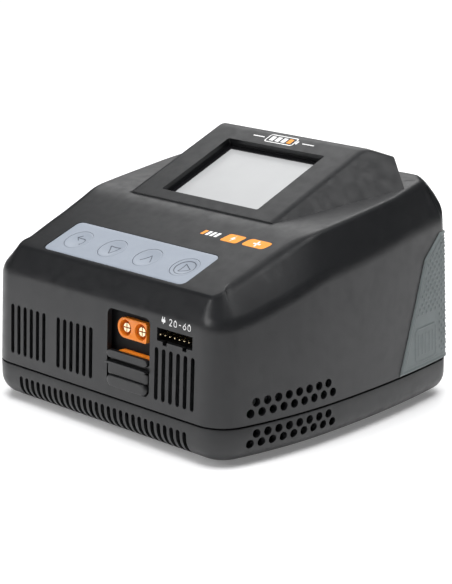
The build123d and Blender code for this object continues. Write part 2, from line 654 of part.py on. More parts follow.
# ---------------------------------------------------------------- the whole assembly
def assembly():
    """Every node by name."""
    grips = [grip(-1), grip(1)]
    small = port_contacts(SMALL_PORT, SMALL_WELLS, 1.75, 11)
    large = port_contacts(LARGE_PORT, LARGE_WELLS, 2.5, 13)
    header_pins = balance_pins()
    mains_pins = ac_pins()
    nodes = {
        "upper_shell": upper_shell(grips),
        "base_tray": base_tray(),
        "grip_left": grips[0],
        "grip_right": grips[1],
        "lcd_mask": lcd_mask(),
        "lcd_panel": lcd_panel(),
        "lcd_frame": lcd_frame(),
        "display_board": display_board(),
        "display_screws": face_screws(POD, SCREEN_POSTS, 9.8, 5.0),
        "keypad_sheet": keypad_sheet(),
        "key_board": key_board(),
        "tact_switches": tact_switches(),
        "key_board_screws": face_screws(SLOPE, PAD_POSTS, 10.1, 5.0),
        "port_door": port_door(),
        "port_bracket": port_bracket(),
        "small_port_housing": (port_housing(SMALL_PORT, SMALL_WELLS, 2.75, 11) - fuse(small)).solid(),
        "large_port_housing": (port_housing(LARGE_PORT, LARGE_WELLS, 3.7, 13) - fuse(large)).solid(),
        "small_port_contacts": Compound(children=[pin.solid() for pin in small]),
        "large_port_contacts": Compound(children=[pin.solid() for pin in large]),
        "balance_header": (balance_header() - fuse(header_pins)).solid(),
        "balance_pins": Compound(children=[pin.solid() for pin in header_pins]),
        "port_board": port_board(),
        "fan_frame": fan_frame(),
        "fan_rotor": fan_rotor(),
        "fan_screws": fan_screws(),
        "ac_inlet": (ac_inlet() - fuse(mains_pins)).solid(),
        "ac_pins": Compound(children=[pin.solid() for pin in mains_pins]),
        "main_board": main_board(),
        "board_screws": board_screws(),
        "transformer_core": transformer_core(),
        "transformer_winding": transformer_winding(),
        "bulk_capacitor_1": capacitor(-10, 22, 9, 32),
        "bulk_capacitor_2": capacitor(-10, 1, 9, 32),
        "output_capacitors": Compound(children=[capacitor(x, -30, 5, 20) for x in (12, 24)]),
        "input_choke": toroid(-30, 14, BOARD_TOP + 11.6, 8, 3.5, tilt=90),
        "output_inductor": toroid(-25.5, -12, BOARD_TOP + 3.4, 7, 3.2),
        "heat_sink_right": heat_sink(40.6, -8, 44),
        "heat_sink_left": mirror(heat_sink(0, 0, 36), Plane.YZ).moved(Location((-41.9, -23, 0))),
        "power_transistors": power_transistors(),
        "film_capacitors": film_capacitors(),
        "fuse_holder": fuse_holder(),
        "mains_fuse": fuse_rod(2.55, 20),
        "control_chips": control_chips(),
        "buzzer": upright(36, 28, BOARD_TOP, 6, 8) - upright(36, 28, BOARD_TOP + 7, 1, 2),
        "case_screws": case_screws(),
        "rubber_feet": rubber_feet(),
    }
    for name, x in KEY_XS.items():
        nodes["key_" + name] = key(x)
        nodes["plunger_" + name] = plunger(x)
    return nodes


if __name__ == "__main__":
    os.makedirs("parts", exist_ok=True)
    for name, shape in assembly().items():
        centred = shape.moved(Location((0, -MID_Y, 0)))
        export_step(centred, f"parts/{name}.step")
        print(name)
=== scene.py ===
# %% [markdown]
# # A desktop balance charger, piece by piece
#
# The charger is a wedge-shaped plastic case: an upper shell with a raised display, a shallow tray
# below it, a blue-grey keypad, a shuttered pair of orange battery ports and a fan at the back.
# The working model is loaded first and never changed. Every piece made here stands for one of
# its nodes or lies on one, and follows its shape closely.

# %% Load the working model
import json
import math

import bmesh
import bpy
import numpy as np
from mathutils import Matrix, Vector


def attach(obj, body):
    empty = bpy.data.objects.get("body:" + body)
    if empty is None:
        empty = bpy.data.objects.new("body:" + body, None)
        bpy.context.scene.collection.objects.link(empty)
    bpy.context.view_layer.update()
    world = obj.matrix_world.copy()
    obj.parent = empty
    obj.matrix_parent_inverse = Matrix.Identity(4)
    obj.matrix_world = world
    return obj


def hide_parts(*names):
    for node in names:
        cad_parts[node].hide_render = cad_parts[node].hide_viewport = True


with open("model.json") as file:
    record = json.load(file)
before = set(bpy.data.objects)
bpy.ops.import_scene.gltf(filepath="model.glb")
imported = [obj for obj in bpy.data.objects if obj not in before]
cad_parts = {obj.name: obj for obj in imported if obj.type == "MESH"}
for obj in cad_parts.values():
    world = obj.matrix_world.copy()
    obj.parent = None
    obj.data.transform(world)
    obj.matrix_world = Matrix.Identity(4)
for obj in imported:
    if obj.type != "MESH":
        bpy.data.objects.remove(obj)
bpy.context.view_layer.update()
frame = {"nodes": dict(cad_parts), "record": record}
MM = 0.001
MID_Y = 1.365
print("nodes", len(frame["nodes"]))

# %% [markdown]
# ## Small tools for making surfaces
#
# A surface is a grid of points, worked out as one numpy array and turned into four-sided faces.
# A grid may close round on itself, as a ring does, and its first and last rows may be capped.
# All lengths are written in millimetres and become metres when the mesh is made. Shapes are drawn
# with the front face on a round figure, MID_Y further back than in the centred model, and
# `make_object` moves them forward by that.

# %% Grids into faces


def grid_faces(rows, cols, wrap_cols):
    """Four-sided faces of a rows x cols grid; wrap_cols joins the last column to the first."""
    i, j = np.meshgrid(np.arange(rows - 1), np.arange(cols if wrap_cols else cols - 1), indexing="ij")
    k = (j + 1) % cols
    quads = np.stack([i * cols + j, i * cols + k, (i + 1) * cols + k, (i + 1) * cols + j], axis=-1)
    return quads.reshape(-1, 4)


def signed_volume(verts, faces):
    """Six times the volume inside the faces, positive when they point outwards."""
    total = 0.0
    for face in faces:
        p = verts[list(face)]
        total += np.einsum("j,ij->i", p[0], np.cross(p[1:-1], p[2:])).sum()
    return total


def make_object(name, verts, faces):
    """Mesh object from points in millimetres, with its faces turned to point outwards."""
    verts = np.asarray(verts, float) - [0, MID_Y, 0]
    faces = [tuple(int(i) for i in f) for f in faces]
    if signed_volume(verts, faces) < 0:
        faces = [f[::-1] for f in faces]
    mesh = bpy.data.meshes.new(name)
    mesh.from_pydata((verts * MM).tolist(), [], faces)
    mesh.update()
    obj = bpy.data.objects.new(name, mesh)
    bpy.context.scene.collection.objects.link(obj)
    return obj


# %% [markdown]
# ## Closed surfaces from rows of points
#
# Most pieces are rows of points that run round a shape, one above the other. They could be built
# from primitives, but rows follow any profile. The ends are closed by a flat cap or a point.

# %% Rows into solids


def tube_of_rows(name, rows):
    """Closed surface from an array of rows (row, column, xyz) that wrap round, capped at both ends."""
    n_rows, n_cols, _ = rows.shape
    faces = [tuple(f) for f in grid_faces(n_rows, n_cols, True)]
    faces.append(tuple(range(n_cols))[::-1])
    faces.append(tuple(range((n_rows - 1) * n_cols, n_rows * n_cols)))
    return make_object(name, rows.reshape(-1, 3), faces)


def dome_of_rows(name, rows, pole):
    """Like tube_of_rows, but the last row closes on one point instead of a flat cap."""
    n_rows, n_cols, _ = rows.shape
    faces = [tuple(f) for f in grid_faces(n_rows, n_cols, True)]
    faces.append(tuple(range(n_cols))[::-1])
    last, tip = (n_rows - 1) * n_cols, n_rows * n_cols
    faces += [(last + j, last + (j + 1) % n_cols, tip) for j in range(n_cols)]
    return make_object(name, np.vstack([rows.reshape(-1, 3), [pole]]), faces)


def weld(obj, distance=1e-6):
    """Merge points that lie on each other."""
    mesh = bmesh.new()
    mesh.from_mesh(obj.data)
    bmesh.ops.remove_doubles(mesh, verts=mesh.verts, dist=distance)
    bmesh.ops.dissolve_degenerate(mesh, edges=mesh.edges, dist=distance)
    mesh.to_mesh(obj.data)
    mesh.free()
    return obj


def sheet_to_solid(name, rows):
    """Closed solid from an open grid whose whole border lies on one level: the border is capped."""
    n_rows, n_cols, _ = rows.shape
    faces = [tuple(f) for f in grid_faces(n_rows, n_cols, False)]
    index = np.arange(n_rows * n_cols).reshape(n_rows, n_cols)
    border = np.concatenate([index[0, :-1], index[:-1, -1], index[-1, :0:-1], index[:0:-1, 0]])
    faces.append(tuple(border)[::-1])
    return make_object(name, rows.reshape(-1, 3), faces)


# %% [markdown]
# ## Cutting, joining and shading
#
# Holes are cut and forms are joined with a Boolean modifier, which is carried out at once, so that
# a finished piece is a plain mesh. Edges that turn sharply stay crisp, and the rest is smooth.

# %% Booleans, joins and smooth shading


def bake_modifiers(obj):
    """Replace the object's mesh by a copy with its modifiers carried out."""
    graph = bpy.context.evaluated_depsgraph_get()
    mesh = bpy.data.meshes.new_from_object(obj.evaluated_get(graph))
    obj.modifiers.clear()
    old, obj.data = obj.data, mesh
    mesh.name = obj.name
    bpy.data.meshes.remove(old)


def boolean(obj, tool, how):
    """Join, subtract or intersect tool with obj; tool is used up."""
    change = obj.modifiers.new("boolean", "BOOLEAN")
    change.operation, change.solver, change.object = how, "MANIFOLD", tool
    bake_modifiers(obj)
    bpy.data.objects.remove(tool)
    return obj


def joined(name, objects):
    """One object holding the meshes of all the objects, which are used up."""
    mesh = bmesh.new()
    for obj in objects:
        mesh.from_mesh(obj.data)
        bpy.data.objects.remove(obj)
    data = bpy.data.meshes.new(name)
    mesh.to_mesh(data)
    mesh.free()
    whole = bpy.data.objects.new(name, data)
    bpy.context.scene.collection.objects.link(whole)
    return whole


def smooth_by_angle(obj, degrees=32.0):
    """Shade smooth, but keep edges sharper than this angle crisp."""
    mesh = bmesh.new()
    mesh.from_mesh(obj.data)
    bmesh.ops.remove_doubles(mesh, verts=mesh.verts, dist=1e-7)
    limit = math.radians(degrees)
    for face in mesh.faces:
        face.smooth = True
    for edge in mesh.edges:
        edge.smooth = len(edge.link_faces) == 2 and edge.calc_face_angle(0.0) < limit
    mesh.to_mesh(obj.data)
    mesh.free()
    return obj


# %% [markdown]
# ## Planes to draw on
#
# Keys, ports and the display lie on tilted faces. A plane is an origin and three directions, and
# a flat figure drawn on it is carried into space, so that a slot on the front and a key on the
# slope are made by the same few functions.

# %% Tilted planes and the figures drawn on them


class Face:
    """A flat face of the case: u runs to the right, v up the face, and n points out of it."""

    def __init__(self, origin, pitch):
        """pitch is how far the face is laid back from level, in degrees; 90 is upright."""
        a = math.radians(pitch)
        self.origin = np.array(origin, float)
        self.u = np.array([1.0, 0.0, 0.0])
        self.v = np.array([0.0, math.cos(a), math.sin(a)])
        self.n = np.array([0.0, -math.sin(a), math.cos(a)])

    def place(self, points, height=0.0):
        """Points (n, 2) on the face, lifted by height along its normal, as (n, 3)."""
        points = np.atleast_2d(points)
        lift = np.broadcast_to(np.asarray(height, float), points.shape[:1])
        return self.origin + points[:, :1] * self.u + points[:, 1:2] * self.v + lift[:, None] * self.n


LEVEL = Face((0, 0, 0), 0)


def rounded_rectangle(cx, cy, w, h, r, steps=6):
    """Outline of a rectangle with round corners, anticlockwise."""
    r = min(r, w / 2 - 1e-4, h / 2 - 1e-4)
    quarter = np.linspace(0, np.pi / 2, steps + 1)
    corners = []
    for k, (sx, sy) in enumerate([(1, 1), (-1, 1), (-1, -1), (1, -1)]):
        angle = quarter + k * np.pi / 2
        centre = np.array([cx + sx * (w / 2 - r), cy + sy * (h / 2 - r)])
        corners.append(centre + r * np.stack([np.cos(angle), np.sin(angle)], axis=1))
    return np.vstack(corners)


def circle(cx, cy, r, steps=32):
    """Outline of a circle, anticlockwise."""
    angle = np.arange(steps) * 2 * np.pi / steps
    return np.stack([cx + r * np.cos(angle), cy + r * np.sin(angle)], axis=1)


def prism(name, face, outline_2d, top, bottom):
    """Solid between two heights above a face, with the same outline all the way."""
    rows = np.stack([face.place(outline_2d, bottom), face.place(outline_2d, top)])
    return tube_of_rows(name, rows)


def plate(name, face, outline_2d, top, bottom, edge, steps=4):
    """Plate with a rounded top edge: rows go up the side, round the edge and in across the top.

    Round the edge, an angle a runs from 0 to 90 degrees: a row moves in by edge times (1 - cos a)
    and stands edge times (1 - sin a) below the top."""
    middle = outline_2d.mean(axis=0)
    reach = np.linalg.norm(outline_2d - middle, axis=1).min()
    angle = np.linspace(0, np.pi / 2, steps + 1)
    inward = edge * (1 - np.cos(angle)) / reach
    rows = [face.place(outline_2d, bottom)]
    for share, lift in zip(inward, top - edge + edge * np.sin(angle)):
        rows.append(face.place(middle + (outline_2d - middle) * (1 - share), lift))
    for share in np.linspace(1, 0, 9)[1:-1] * (1 - inward[-1]):
        rows.append(face.place(middle + (outline_2d - middle) * share, top))
    return dome_of_rows(name, np.stack(rows), face.place(middle, top)[0])


# %% [markdown]
# ## The outline of the case
#
# Seen from above, the case has a flat front and rear, round corners and sides that bow gently
# outwards. Each stretch is an arc that starts where the last one ended, in the same direction,
# so the reflections run round without a break.

# %% Plan of the case
SEAM_Z = 16.0
DRAFT_ANGLE = 2.27
DRAFT = math.tan(math.radians(DRAFT_ANGLE))
FRONT_Y, REAR_Y = -65.0, 67.2
FRONT_FLAT, FRONT_R = 54.0, 12.8
SIDE_TOE = 13.0  # degrees by which the sides open at the front corners
SIDE_FRONT_R, SIDE_REAR_R, REAR_R = 195.0, 425.0, 8.0
FRONT_STEP, REAR_STEP = 1.1, 0.9  # length of a step round the front and the rear corners


def plan(step=2.6, flat_step=2.5):
    """Points round the case at the seam, their outward normals and their headings in degrees.

    Goes anticlockwise from the middle of the front. The heading is the angle of the normal."""
    centre = np.array([FRONT_FLAT, FRONT_Y + FRONT_R])
    arcs = [(centre, FRONT_R, -90.0, -SIDE_TOE, FRONT_STEP)]

    def next_centre(old_centre, old_r, angle, new_r):
        """Centre of the arc that goes on from the old one at this angle, with a new radius."""
        a = math.radians(angle)
        return old_centre + (old_r - new_r) * np.array([math.cos(a), math.sin(a)])

    bow = next_centre(centre, FRONT_R, -SIDE_TOE, SIDE_FRONT_R)
    arcs.append((bow, SIDE_FRONT_R, -SIDE_TOE, 0.0, step))
    tail = next_centre(bow, SIDE_FRONT_R, 0.0, SIDE_REAR_R)
    turn = math.degrees(math.asin((REAR_Y - REAR_R - bow[1]) / (SIDE_REAR_R - REAR_R)))
    arcs.append((tail, SIDE_REAR_R, 0.0, turn, step))
    corner = next_centre(tail, SIDE_REAR_R, turn, REAR_R)
    arcs.append((corner, REAR_R, turn, 90.0, REAR_STEP))

    points, headings = [], []
    for x in np.arange(0, FRONT_FLAT, flat_step):
        points.append([(x, FRONT_Y)])
        headings.append([-90.0])
    for c, r, start, end, spacing in arcs:
        count = max(3, int(round(math.radians(abs(end - start)) * r / spacing)))
        angle = np.linspace(start, end, count, endpoint=False)
        a = np.radians(angle)
        points.append(c + r * np.stack([np.cos(a), np.sin(a)], axis=1))
        headings.append(angle)
    for x in np.arange(corner[0], 0, -flat_step):
        points.append([(x, REAR_Y)])
        headings.append([90.0])
    right, angle = np.vstack(points), np.concatenate(headings)
    left = right[:0:-1] * [-1, 1]
    mirrored = 180 - angle[:0:-1]
    points = np.vstack([right, [(0, REAR_Y)], left])
    angle = np.concatenate([angle, [90.0], mirrored])
    a = np.radians(angle)
    return points, np.stack([np.cos(a), np.sin(a)], axis=1), angle


PLAN, NORMAL, HEADING = plan()
print("columns round the case", len(PLAN))

# %% [markdown]
# ## The upper shell
#
# Each column of the shell is one upright profile: the drafted wall, a soft edge, the dark bevel,
# the rim and the top. The profile's corners slide as it goes round, because the bevel is
# narrow across the front and wide along the sides.

# %% Heights and widths of the bevel
RIM_Y, RIM_Z = -58.18, 62.69  # front edge of the keypad slope
SLOPE, SHOULDER, POD_PITCH = 19.96, 7.5, 22.0  # degrees back from level
CREASE_Y, CREASE_SOFT = -13.5, 1.2
SHOULDER_Z = RIM_Z + (CREASE_Y - RIM_Y) * math.tan(math.radians(SLOPE))
FRONT_INSET, REAR_INSET = 6.82, 4.3
CORNER_OUT, CORNER_UP, CORNER_SIZE = 0.557, 0.615, 117.4
CORNER_SLACK = 2.6  # by how much the wall may stand outside the corner plane, in x + y
WALL = 2.2
# Shares of an inset that lower the top and the bevel's foot, and move the rim and its corners in.
TOP_SINK, FOOT_SINK, RIM_SHIFT, CORNER_SHIFT = 1.05, 0.55, 0.62, 0.8
TOP_ROWS = 26


def soft(x, xs, ys, reach):
    """Straight-line interpolation with its corners averaged out over plus or minus reach."""
    offsets = np.linspace(-reach, reach, 9)
    return np.mean([np.interp(x + o, xs, ys) for o in offsets], axis=0)


def top_height(y):
    """Height of the keypad slope and of the shoulder behind it, with a soft crease between."""
    slope = RIM_Z + (y - RIM_Y) * math.tan(math.radians(SLOPE))
    shoulder = SHOULDER_Z + (y - CREASE_Y) * math.tan(math.radians(SHOULDER))
    near = np.maximum(CREASE_SOFT - np.abs(slope - shoulder), 0) / CREASE_SOFT
    return np.minimum(slope, shoulder) - near * near * CREASE_SOFT / 4


def bevel_foot(y, heading):
    """Height of the lower edge of the bevel, which climbs round the rear corners."""
    along = soft(y, [-65, -58, -51, -33.5, -15.4, -0.4, 15, 39, 64.7],
                 [53.67, 54.0, 54.9, 59.7, 64.7, 66.6, 68.3, 71.3, 73.0], 3.0)
    turn = np.where(heading > 90, 180 - heading, heading)
    return along + np.interp(turn, [35, 75], [0, 11.0])


def corner_sum(z):
    """The rear corners are cut by a slanting plane: on it, x + y falls as the height z grows."""
    return (CORNER_SIZE - CORNER_UP * z) / CORNER_OUT


def corner_height(x, y):
    """Height of the same plane above a point of the wall."""
    return (CORNER_SIZE - CORNER_OUT * (np.abs(x) + y - CORNER_SLACK)) / CORNER_UP


def rim_inset(y, heading):
    """How far the rim lies inside the plan: little across the front and rear, more along the sides."""
    along = soft(y, [-56, -50, -33, -20, -13, 15, 37, 56],
                 [11.2, 11.9, 13.2, 12.6, 11.3, 9.9, 8.3, 9.4], 2.5)
    turn = np.where(heading > 90, 180 - heading, heading)
    turn = np.where(turn < -90, -180 - turn, turn)
    front = np.interp(turn, [-90, -60, -35, -13], [0, 0.55, 0.9, 1])
    rear = np.interp(turn, [9.3, 45, 70, 90], [0, 0.5, 0.8, 1])
    inset = FRONT_INSET + (along - FRONT_INSET) * front
    return inset + (REAR_INSET - inset) * rear


def rounded(a, b, c, size, steps):
    """Points of a soft corner at b between a and c: a quadratic curve that starts size before b."""
    to_a, to_c = a - b, c - b
    start = b + to_a / np.maximum(np.linalg.norm(to_a, axis=1, keepdims=True), 1e-6) * size
    end = b + to_c / np.maximum(np.linalg.norm(to_c, axis=1, keepdims=True), 1e-6) * size
    t = np.linspace(0, 1, steps)[:, None, None]
    return (1 - t) ** 2 * start + 2 * t * (1 - t) * b + t**2 * end


def case_surface(name, inset):
    """The case without its pod, moved in by inset, as a closed solid standing on the seam.

    Each column goes from the seam up the wall to the bevel's foot, along the bevel to the rim, and
    over the top to the middle, where all the columns meet."""
    x, y = PLAN.T
    bottom_z = SEAM_Z if inset == 0 else SEAM_Z - 3
    bottom_in = inset + (bottom_z - SEAM_Z) * DRAFT
    bottom = np.column_stack([PLAN - NORMAL * bottom_in, np.full_like(x, bottom_z)])
    foot_z = np.minimum(bevel_foot(y, HEADING), corner_height(x, y)) - inset * FOOT_SINK
    wall_in = inset + (foot_z - SEAM_Z) * DRAFT
    foot = np.column_stack([PLAN - NORMAL * wall_in[:, None], foot_z])

    def on_top(plan_points):
        """Points of the plan lifted to the height of the top there."""
        return np.column_stack([plan_points, top_height(plan_points[:, 1]) - inset * TOP_SINK])

    rim_plan = PLAN - NORMAL * (rim_inset(y, HEADING) + inset * RIM_SHIFT)[:, None]
    excess = np.abs(rim_plan[:, 0]) + rim_plan[:, 1] + inset * CORNER_SHIFT
    excess = np.maximum(excess - corner_sum(top_height(rim_plan[:, 1])), 0) / 2
    rim_plan = rim_plan - np.column_stack([np.sign(x) * excess, excess])
    scale = 1.0 if inset == 0 else 0.35
    foot_r = np.interp(np.abs(x), [40, 60], [2.2, 3.4])[:, None] * scale
    rim_r = soft(y, [-60, -52, -22, -8, 30, 56], [1.3, 3.6, 3.4, 1.9, 1.7, 3.4], 2.0)[:, None] * scale
    rim, inner = on_top(rim_plan), on_top(rim_plan * 0.9)
    rows = [bottom[None], rounded(bottom, foot, rim, foot_r, 6), rounded(foot, rim, inner, rim_r, 7)]
    edge = rows[-1][-1][:, :2]
    rows += [on_top(edge * share)[None] for share in np.linspace(1, 0, TOP_ROWS)[1:-1]]
    return dome_of_rows(name, np.concatenate(rows), on_top(np.zeros((1, 2)))[0])


# %% [markdown]
# ## The display pod
#
# The display stands on a wedge whose sides lean outwards. Its rows are rings with the same
# corners: a ring round the foot, sunk into the case, and a ring round the top, which is a
# sloping face with a short strip that falls away behind it.

# %% Wedge under the display
POD_Y, POD_Z, POD_HALF = -11.4, 79.7, 39.2
POD_TOP_Y, POD_TOP_Z = 41.35, 101.0
POD_REAR_Y, POD_REAR_Z = 52.0, 96.4
POD_CORNER = np.array([47.1, 49.6])
POD_SIDE_N = np.array([0.640, -0.290, 0.710])  # normal of the leaning right side
POD_FOOT_Z, POD_WIDEST = 66.0, 59.5
POD_CREST_R, POD_CREST_BEND = 2.0, 0.11  # reach of the soft crest, and how fast it falls


def pod_side_x(y, z):
    """Half width of the pod where its leaning side passes through this y and z."""
    away = POD_SIDE_N[1] * (y - POD_Y) + POD_SIDE_N[2] * (z - POD_Z)
    return POD_HALF - away / POD_SIDE_N[0]


def pod_corner_cutters(inset):
    """Upright prisms that trim the pod's two rear corners along a slanting line."""
    along, out = np.array([2.0, -1.0]) / math.sqrt(5), np.array([1.0, 2.0]) / math.sqrt(5)
    near = POD_CORNER - out * inset
    ends = [near - 15 * along, near + 30 * along]
    outline = np.array([ends[0], ends[1], ends[1] + 40 * out, ends[0] + 40 * out])
    return [prism("corner", LEVEL, outline * [side, 1], 115, 60) for side in (1, -1)]


def pod_surface(name, inset):
    """Closed solid of the pod, moved in by inset, from below the shoulder to its top.

    Rows run across, from one foot over the top to the other; columns run from front to rear."""
    side_in, whole = inset * FOOT_SINK, inset == 0
    y = np.concatenate([np.linspace(POD_Y, POD_TOP_Y, 40), np.linspace(POD_TOP_Y, POD_REAR_Y, 9)[1:]])
    z = np.interp(y, [POD_Y, POD_TOP_Y, POD_REAR_Y], [POD_Z, POD_TOP_Z, POD_REAR_Z])
    crest = np.minimum(np.abs(y - POD_TOP_Y) - POD_CREST_R, 0)
    z = z - crest**2 * POD_CREST_BEND - inset * TOP_SINK
    y = y - np.where(y > POD_TOP_Y, (y - POD_TOP_Y) / (POD_REAR_Y - POD_TOP_Y) * inset, 0)

    # Half of one ring across: foot, knee where the side meets its widest line, top and middle.
    top = np.column_stack([pod_side_x(y, z + inset) - side_in, y, z])
    leaning_x = pod_side_x(y, POD_FOOT_Z) - side_in
    side_x = np.minimum(leaning_x, POD_WIDEST - inset)
    foot = np.column_stack([side_x, y, np.full_like(y, POD_FOOT_Z)])
    knee_z = z - (z - POD_FOOT_Z) * (top[:, 0] - side_x) / (top[:, 0] - leaning_x)
    knee = np.column_stack([side_x, y, knee_z])
    edge = rounded(knee, top, top * [0, 1, 1], np.full((len(y), 1), 1.9 if whole else 0.5), 7)
    inner = np.stack([edge[-1] * [s, 1, 1] for s in np.linspace(1, 0, 14)[1:]])
    right = np.concatenate([foot[None], knee[None], edge, inner])
    rows = np.concatenate([right, right[-2::-1] * [-1, 1, 1]])

    # The rear wall leans out a little as it goes down, and its upper edge is soft.
    lean = rows[:, -1:].copy()
    reach = np.clip((POD_REAR_Z - POD_FOOT_Z) * 0.16, 0, 9)
    lean[..., 1] += (lean[..., 2] - POD_FOOT_Z) / (POD_REAR_Z - POD_FOOT_Z) * reach
    lean[..., 2] = POD_FOOT_Z
    bend = rounded(rows[:, -2], rows[:, -1], lean[:, 0], 1.6 if whole else 0.5, 6)
    front_foot = rows[:, :1].copy()
    front_foot[..., 2] = POD_FOOT_Z
    rows = np.concatenate([front_foot, rows[:, :-1], bend.transpose(1, 0, 2), lean], axis=1)
    return weld(sheet_to_solid(name, rows))


# %% [markdown]
# ## The shell is a form less a smaller form
#
# A Solidify modifier would give the wall an even thickness but fold up in the tight corners. The
# same two functions with an inset give an inner form instead, and it is taken out of the outer one.

# %% Upper shell: outer form less inner form
def upper_form(inset):
    """Case and pod as one solid, moved in by inset."""
    pod = pod_surface("pod_form", inset)
    boolean(pod, joined("corners", pod_corner_cutters(inset)), "DIFFERENCE")
    return boolean(case_surface("case_form", inset), pod, "UNION")


FRONT_FACE = Face((0, FRONT_Y, SEAM_Z), 90 - DRAFT_ANGLE)
SLOPE_FACE = Face((0, RIM_Y, RIM_Z), SLOPE)
POD_FACE = Face((0, POD_Y, POD_Z), POD_PITCH)

shell = boolean(upper_form(0.0), upper_form(WALL), "DIFFERENCE")
shell.name = "upper_shell_skin"
print("shell", len(shell.data.polygons), "faces")

# %% [markdown]
# ## Openings in the shell
#
# Slots, holes, the port window and the display opening are cut by solids that pass through the
# wall. Cutters that stay clear of each other are joined and cut at once. The round holes under the
# keys run through the keypad's recess, so they are cut after it.

# %% Cutters for the front and the sides
SLOT_W, SLOT_H, SLOT_MIDDLE, SLOT_PITCH, SLOTS_EACH = 2.0, 20.2, 14.3, 3.803, 6
SLOT_FIRSTS = (-51.67, -24.05, 31.35)
HOLE_R, HOLE_PITCH, HOLE_SIDES = 1.7, 4.98, 20
SHELL_HOLES = [(24.1, -48.8, 8), (20.15, -51.4, 9)]  # height, first y and how many
# Across and up its face: left, right, low and high for the window, middle and size for the rest.
WINDOW = (4.3, 27.65, 4.0, 34.2)
HEADER = (40.7, 29.5, 18.6, 5.0)
SCREEN = (0.0, 26.05, 53.2, 41.1)
PAD, PAD_DEPTH = (-2.7, 12.8, 79.4, 21.4), 1.3
KEY_XS = {"back": -31.5, "down": -11.8, "up": 8.0, "start": 28.2}
KEY_S, KEY_R = 12.4, 5.9


def vent_slots():
    """Upright slots in the front, in three groups."""
    places = [first + SLOT_PITCH * i for first in SLOT_FIRSTS for i in range(SLOTS_EACH)]
    shapes = [rounded_rectangle(x, SLOT_MIDDLE, SLOT_W, SLOT_H, SLOT_W / 2) for x in places]
    return [prism("slot", FRONT_FACE, outline, 2, -4) for outline in shapes]


def side_drills(rows):
    """Round cutters through both sides, in staggered rows: height, first y and how many."""
    drills = []
    for z, first, count in rows:
        for i in range(count):
            round_yz = circle(first + HOLE_PITCH * i, z, HOLE_R, HOLE_SIDES)
            for side in (-1, 1):
                ends = [np.column_stack([np.full(HOLE_SIDES, side * x), round_yz]) for x in (56, 76)]
                drills.append(tube_of_rows("drill", np.stack(ends)))
    return drills


# %% [markdown]
# ## The rear wall
#
# The fan blows out through a round grille of level bars with rounded ends. Four screws hold the
# fan, and the mains inlet has a square hole of its own.

# %% Cutters for the rear
FAN_X, FAN_Z, FAN_BOLT = 12.0, 51.0, 25.0
FAN_BOLTS = [(FAN_X + FAN_BOLT * sx, FAN_Z + FAN_BOLT * sz) for sx in (-1, 1) for sz in (-1, 1)]
GRILLE_R, GRILLE_PITCH, GRILLE_SLOT, GRILLE_RIB, HUB_R = 26.0, 5.6, 3.0, 1.2, 8.2
SEAT_R, SEAT_HEIGHT, BORE_R = 3.4, 0.9, 1.6
INLET_HOLE = (-36.0, 34.0, 24.3, 15.3)


def rear_wall(z):
    """Upright face that meets the drafted rear wall at this height."""
    return Face((0, REAR_Y - (z - SEAM_Z) * DRAFT, 0), 90)


def rear_cutters():
    """Inlet hole, the slots on both sides of the grille's middle rib and hub, and the screw holes."""
    upright = Face((0, REAR_Y, 0), 90)
    cutters = [prism("inlet_hole", upright, rounded_rectangle(*INLET_HOLE, 0.5), 8, -8)]
    for i in range(-4, 5):
        rise = GRILLE_PITCH * i
        half = math.sqrt(GRILLE_R**2 - rise**2)
        near = GRILLE_RIB if abs(rise) > HUB_R else HUB_R
        for side in (-1, 1):
            middle = FAN_X + side * (near + half) / 2
            outline = rounded_rectangle(middle, FAN_Z + rise, half - near, GRILLE_SLOT, GRILLE_SLOT / 2)
            cutters.append(prism("grille", upright, outline, 8, -8))
    for x, z in FAN_BOLTS:
        cutters.append(prism("seat", rear_wall(z), circle(x, z, SEAT_R), SEAT_HEIGHT, -4))
        cutters.append(prism("bore", rear_wall(z), circle(x, z, BORE_R, 16), 4, -4))
    return cutters


# %% [markdown]
# ## Ports, display and keys
#
# The balance socket has two notches along its lower edge for the ribs of its plug. The other
# openings are plain rounded figures, drawn on the face that they go through.

# %% Cutters for the openings, and the cut
NOTCH_MIDDLE, NOTCH_W, NOTCH_DEPTH = 5.2, 2.2, 1.3


def notched_socket():
    """Outline of the socket, anticlockwise from its lower left corner."""
    x, h, w, tall = HEADER
    low, high = h - tall / 2, h + tall / 2
    outline = [(x - w / 2, low)]
    for side in (-1, 1):
        left, right = x + side * NOTCH_MIDDLE - NOTCH_W / 2, x + side * NOTCH_MIDDLE + NOTCH_W / 2
        outline += [(left, low), (left, low - NOTCH_DEPTH), (right, low - NOTCH_DEPTH), (right, low)]
    return np.array(outline + [(x + w / 2, low), (x + w / 2, high), (x - w / 2, high)])


def shell_cutters():
    """All the cutters of the shell that stay clear of each other."""
    x0, x1, h0, h1 = WINDOW
    window = rounded_rectangle((x0 + x1) / 2, (h0 + h1) / 2, x1 - x0, h1 - h0, 2.5)
    return vent_slots() + side_drills(SHELL_HOLES) + rear_cutters() + [
        prism("window", FRONT_FACE, window, 3, -6),
        prism("socket", FRONT_FACE, notched_socket(), 3, -4),
        prism("screen", POD_FACE, rounded_rectangle(*SCREEN, 0.8), 5, -6),
        prism("pad", SLOPE_FACE, rounded_rectangle(*PAD, 2.8), 5, -PAD_DEPTH),
    ]


def key_prisms(name, r, top, bottom, steps=32):
    """One round prism at each key."""
    return [prism(name, SLOPE_FACE, circle(x, KEY_S, r, steps), top, bottom) for x in KEY_XS.values()]


boolean(shell, joined("cutters", shell_cutters()), "DIFFERENCE")
boolean(shell, joined("key_holes", key_prisms("key_hole", KEY_R + 0.5, 5, -5)), "DIFFERENCE")
print("cut shell", len(shell.data.polygons), "faces")

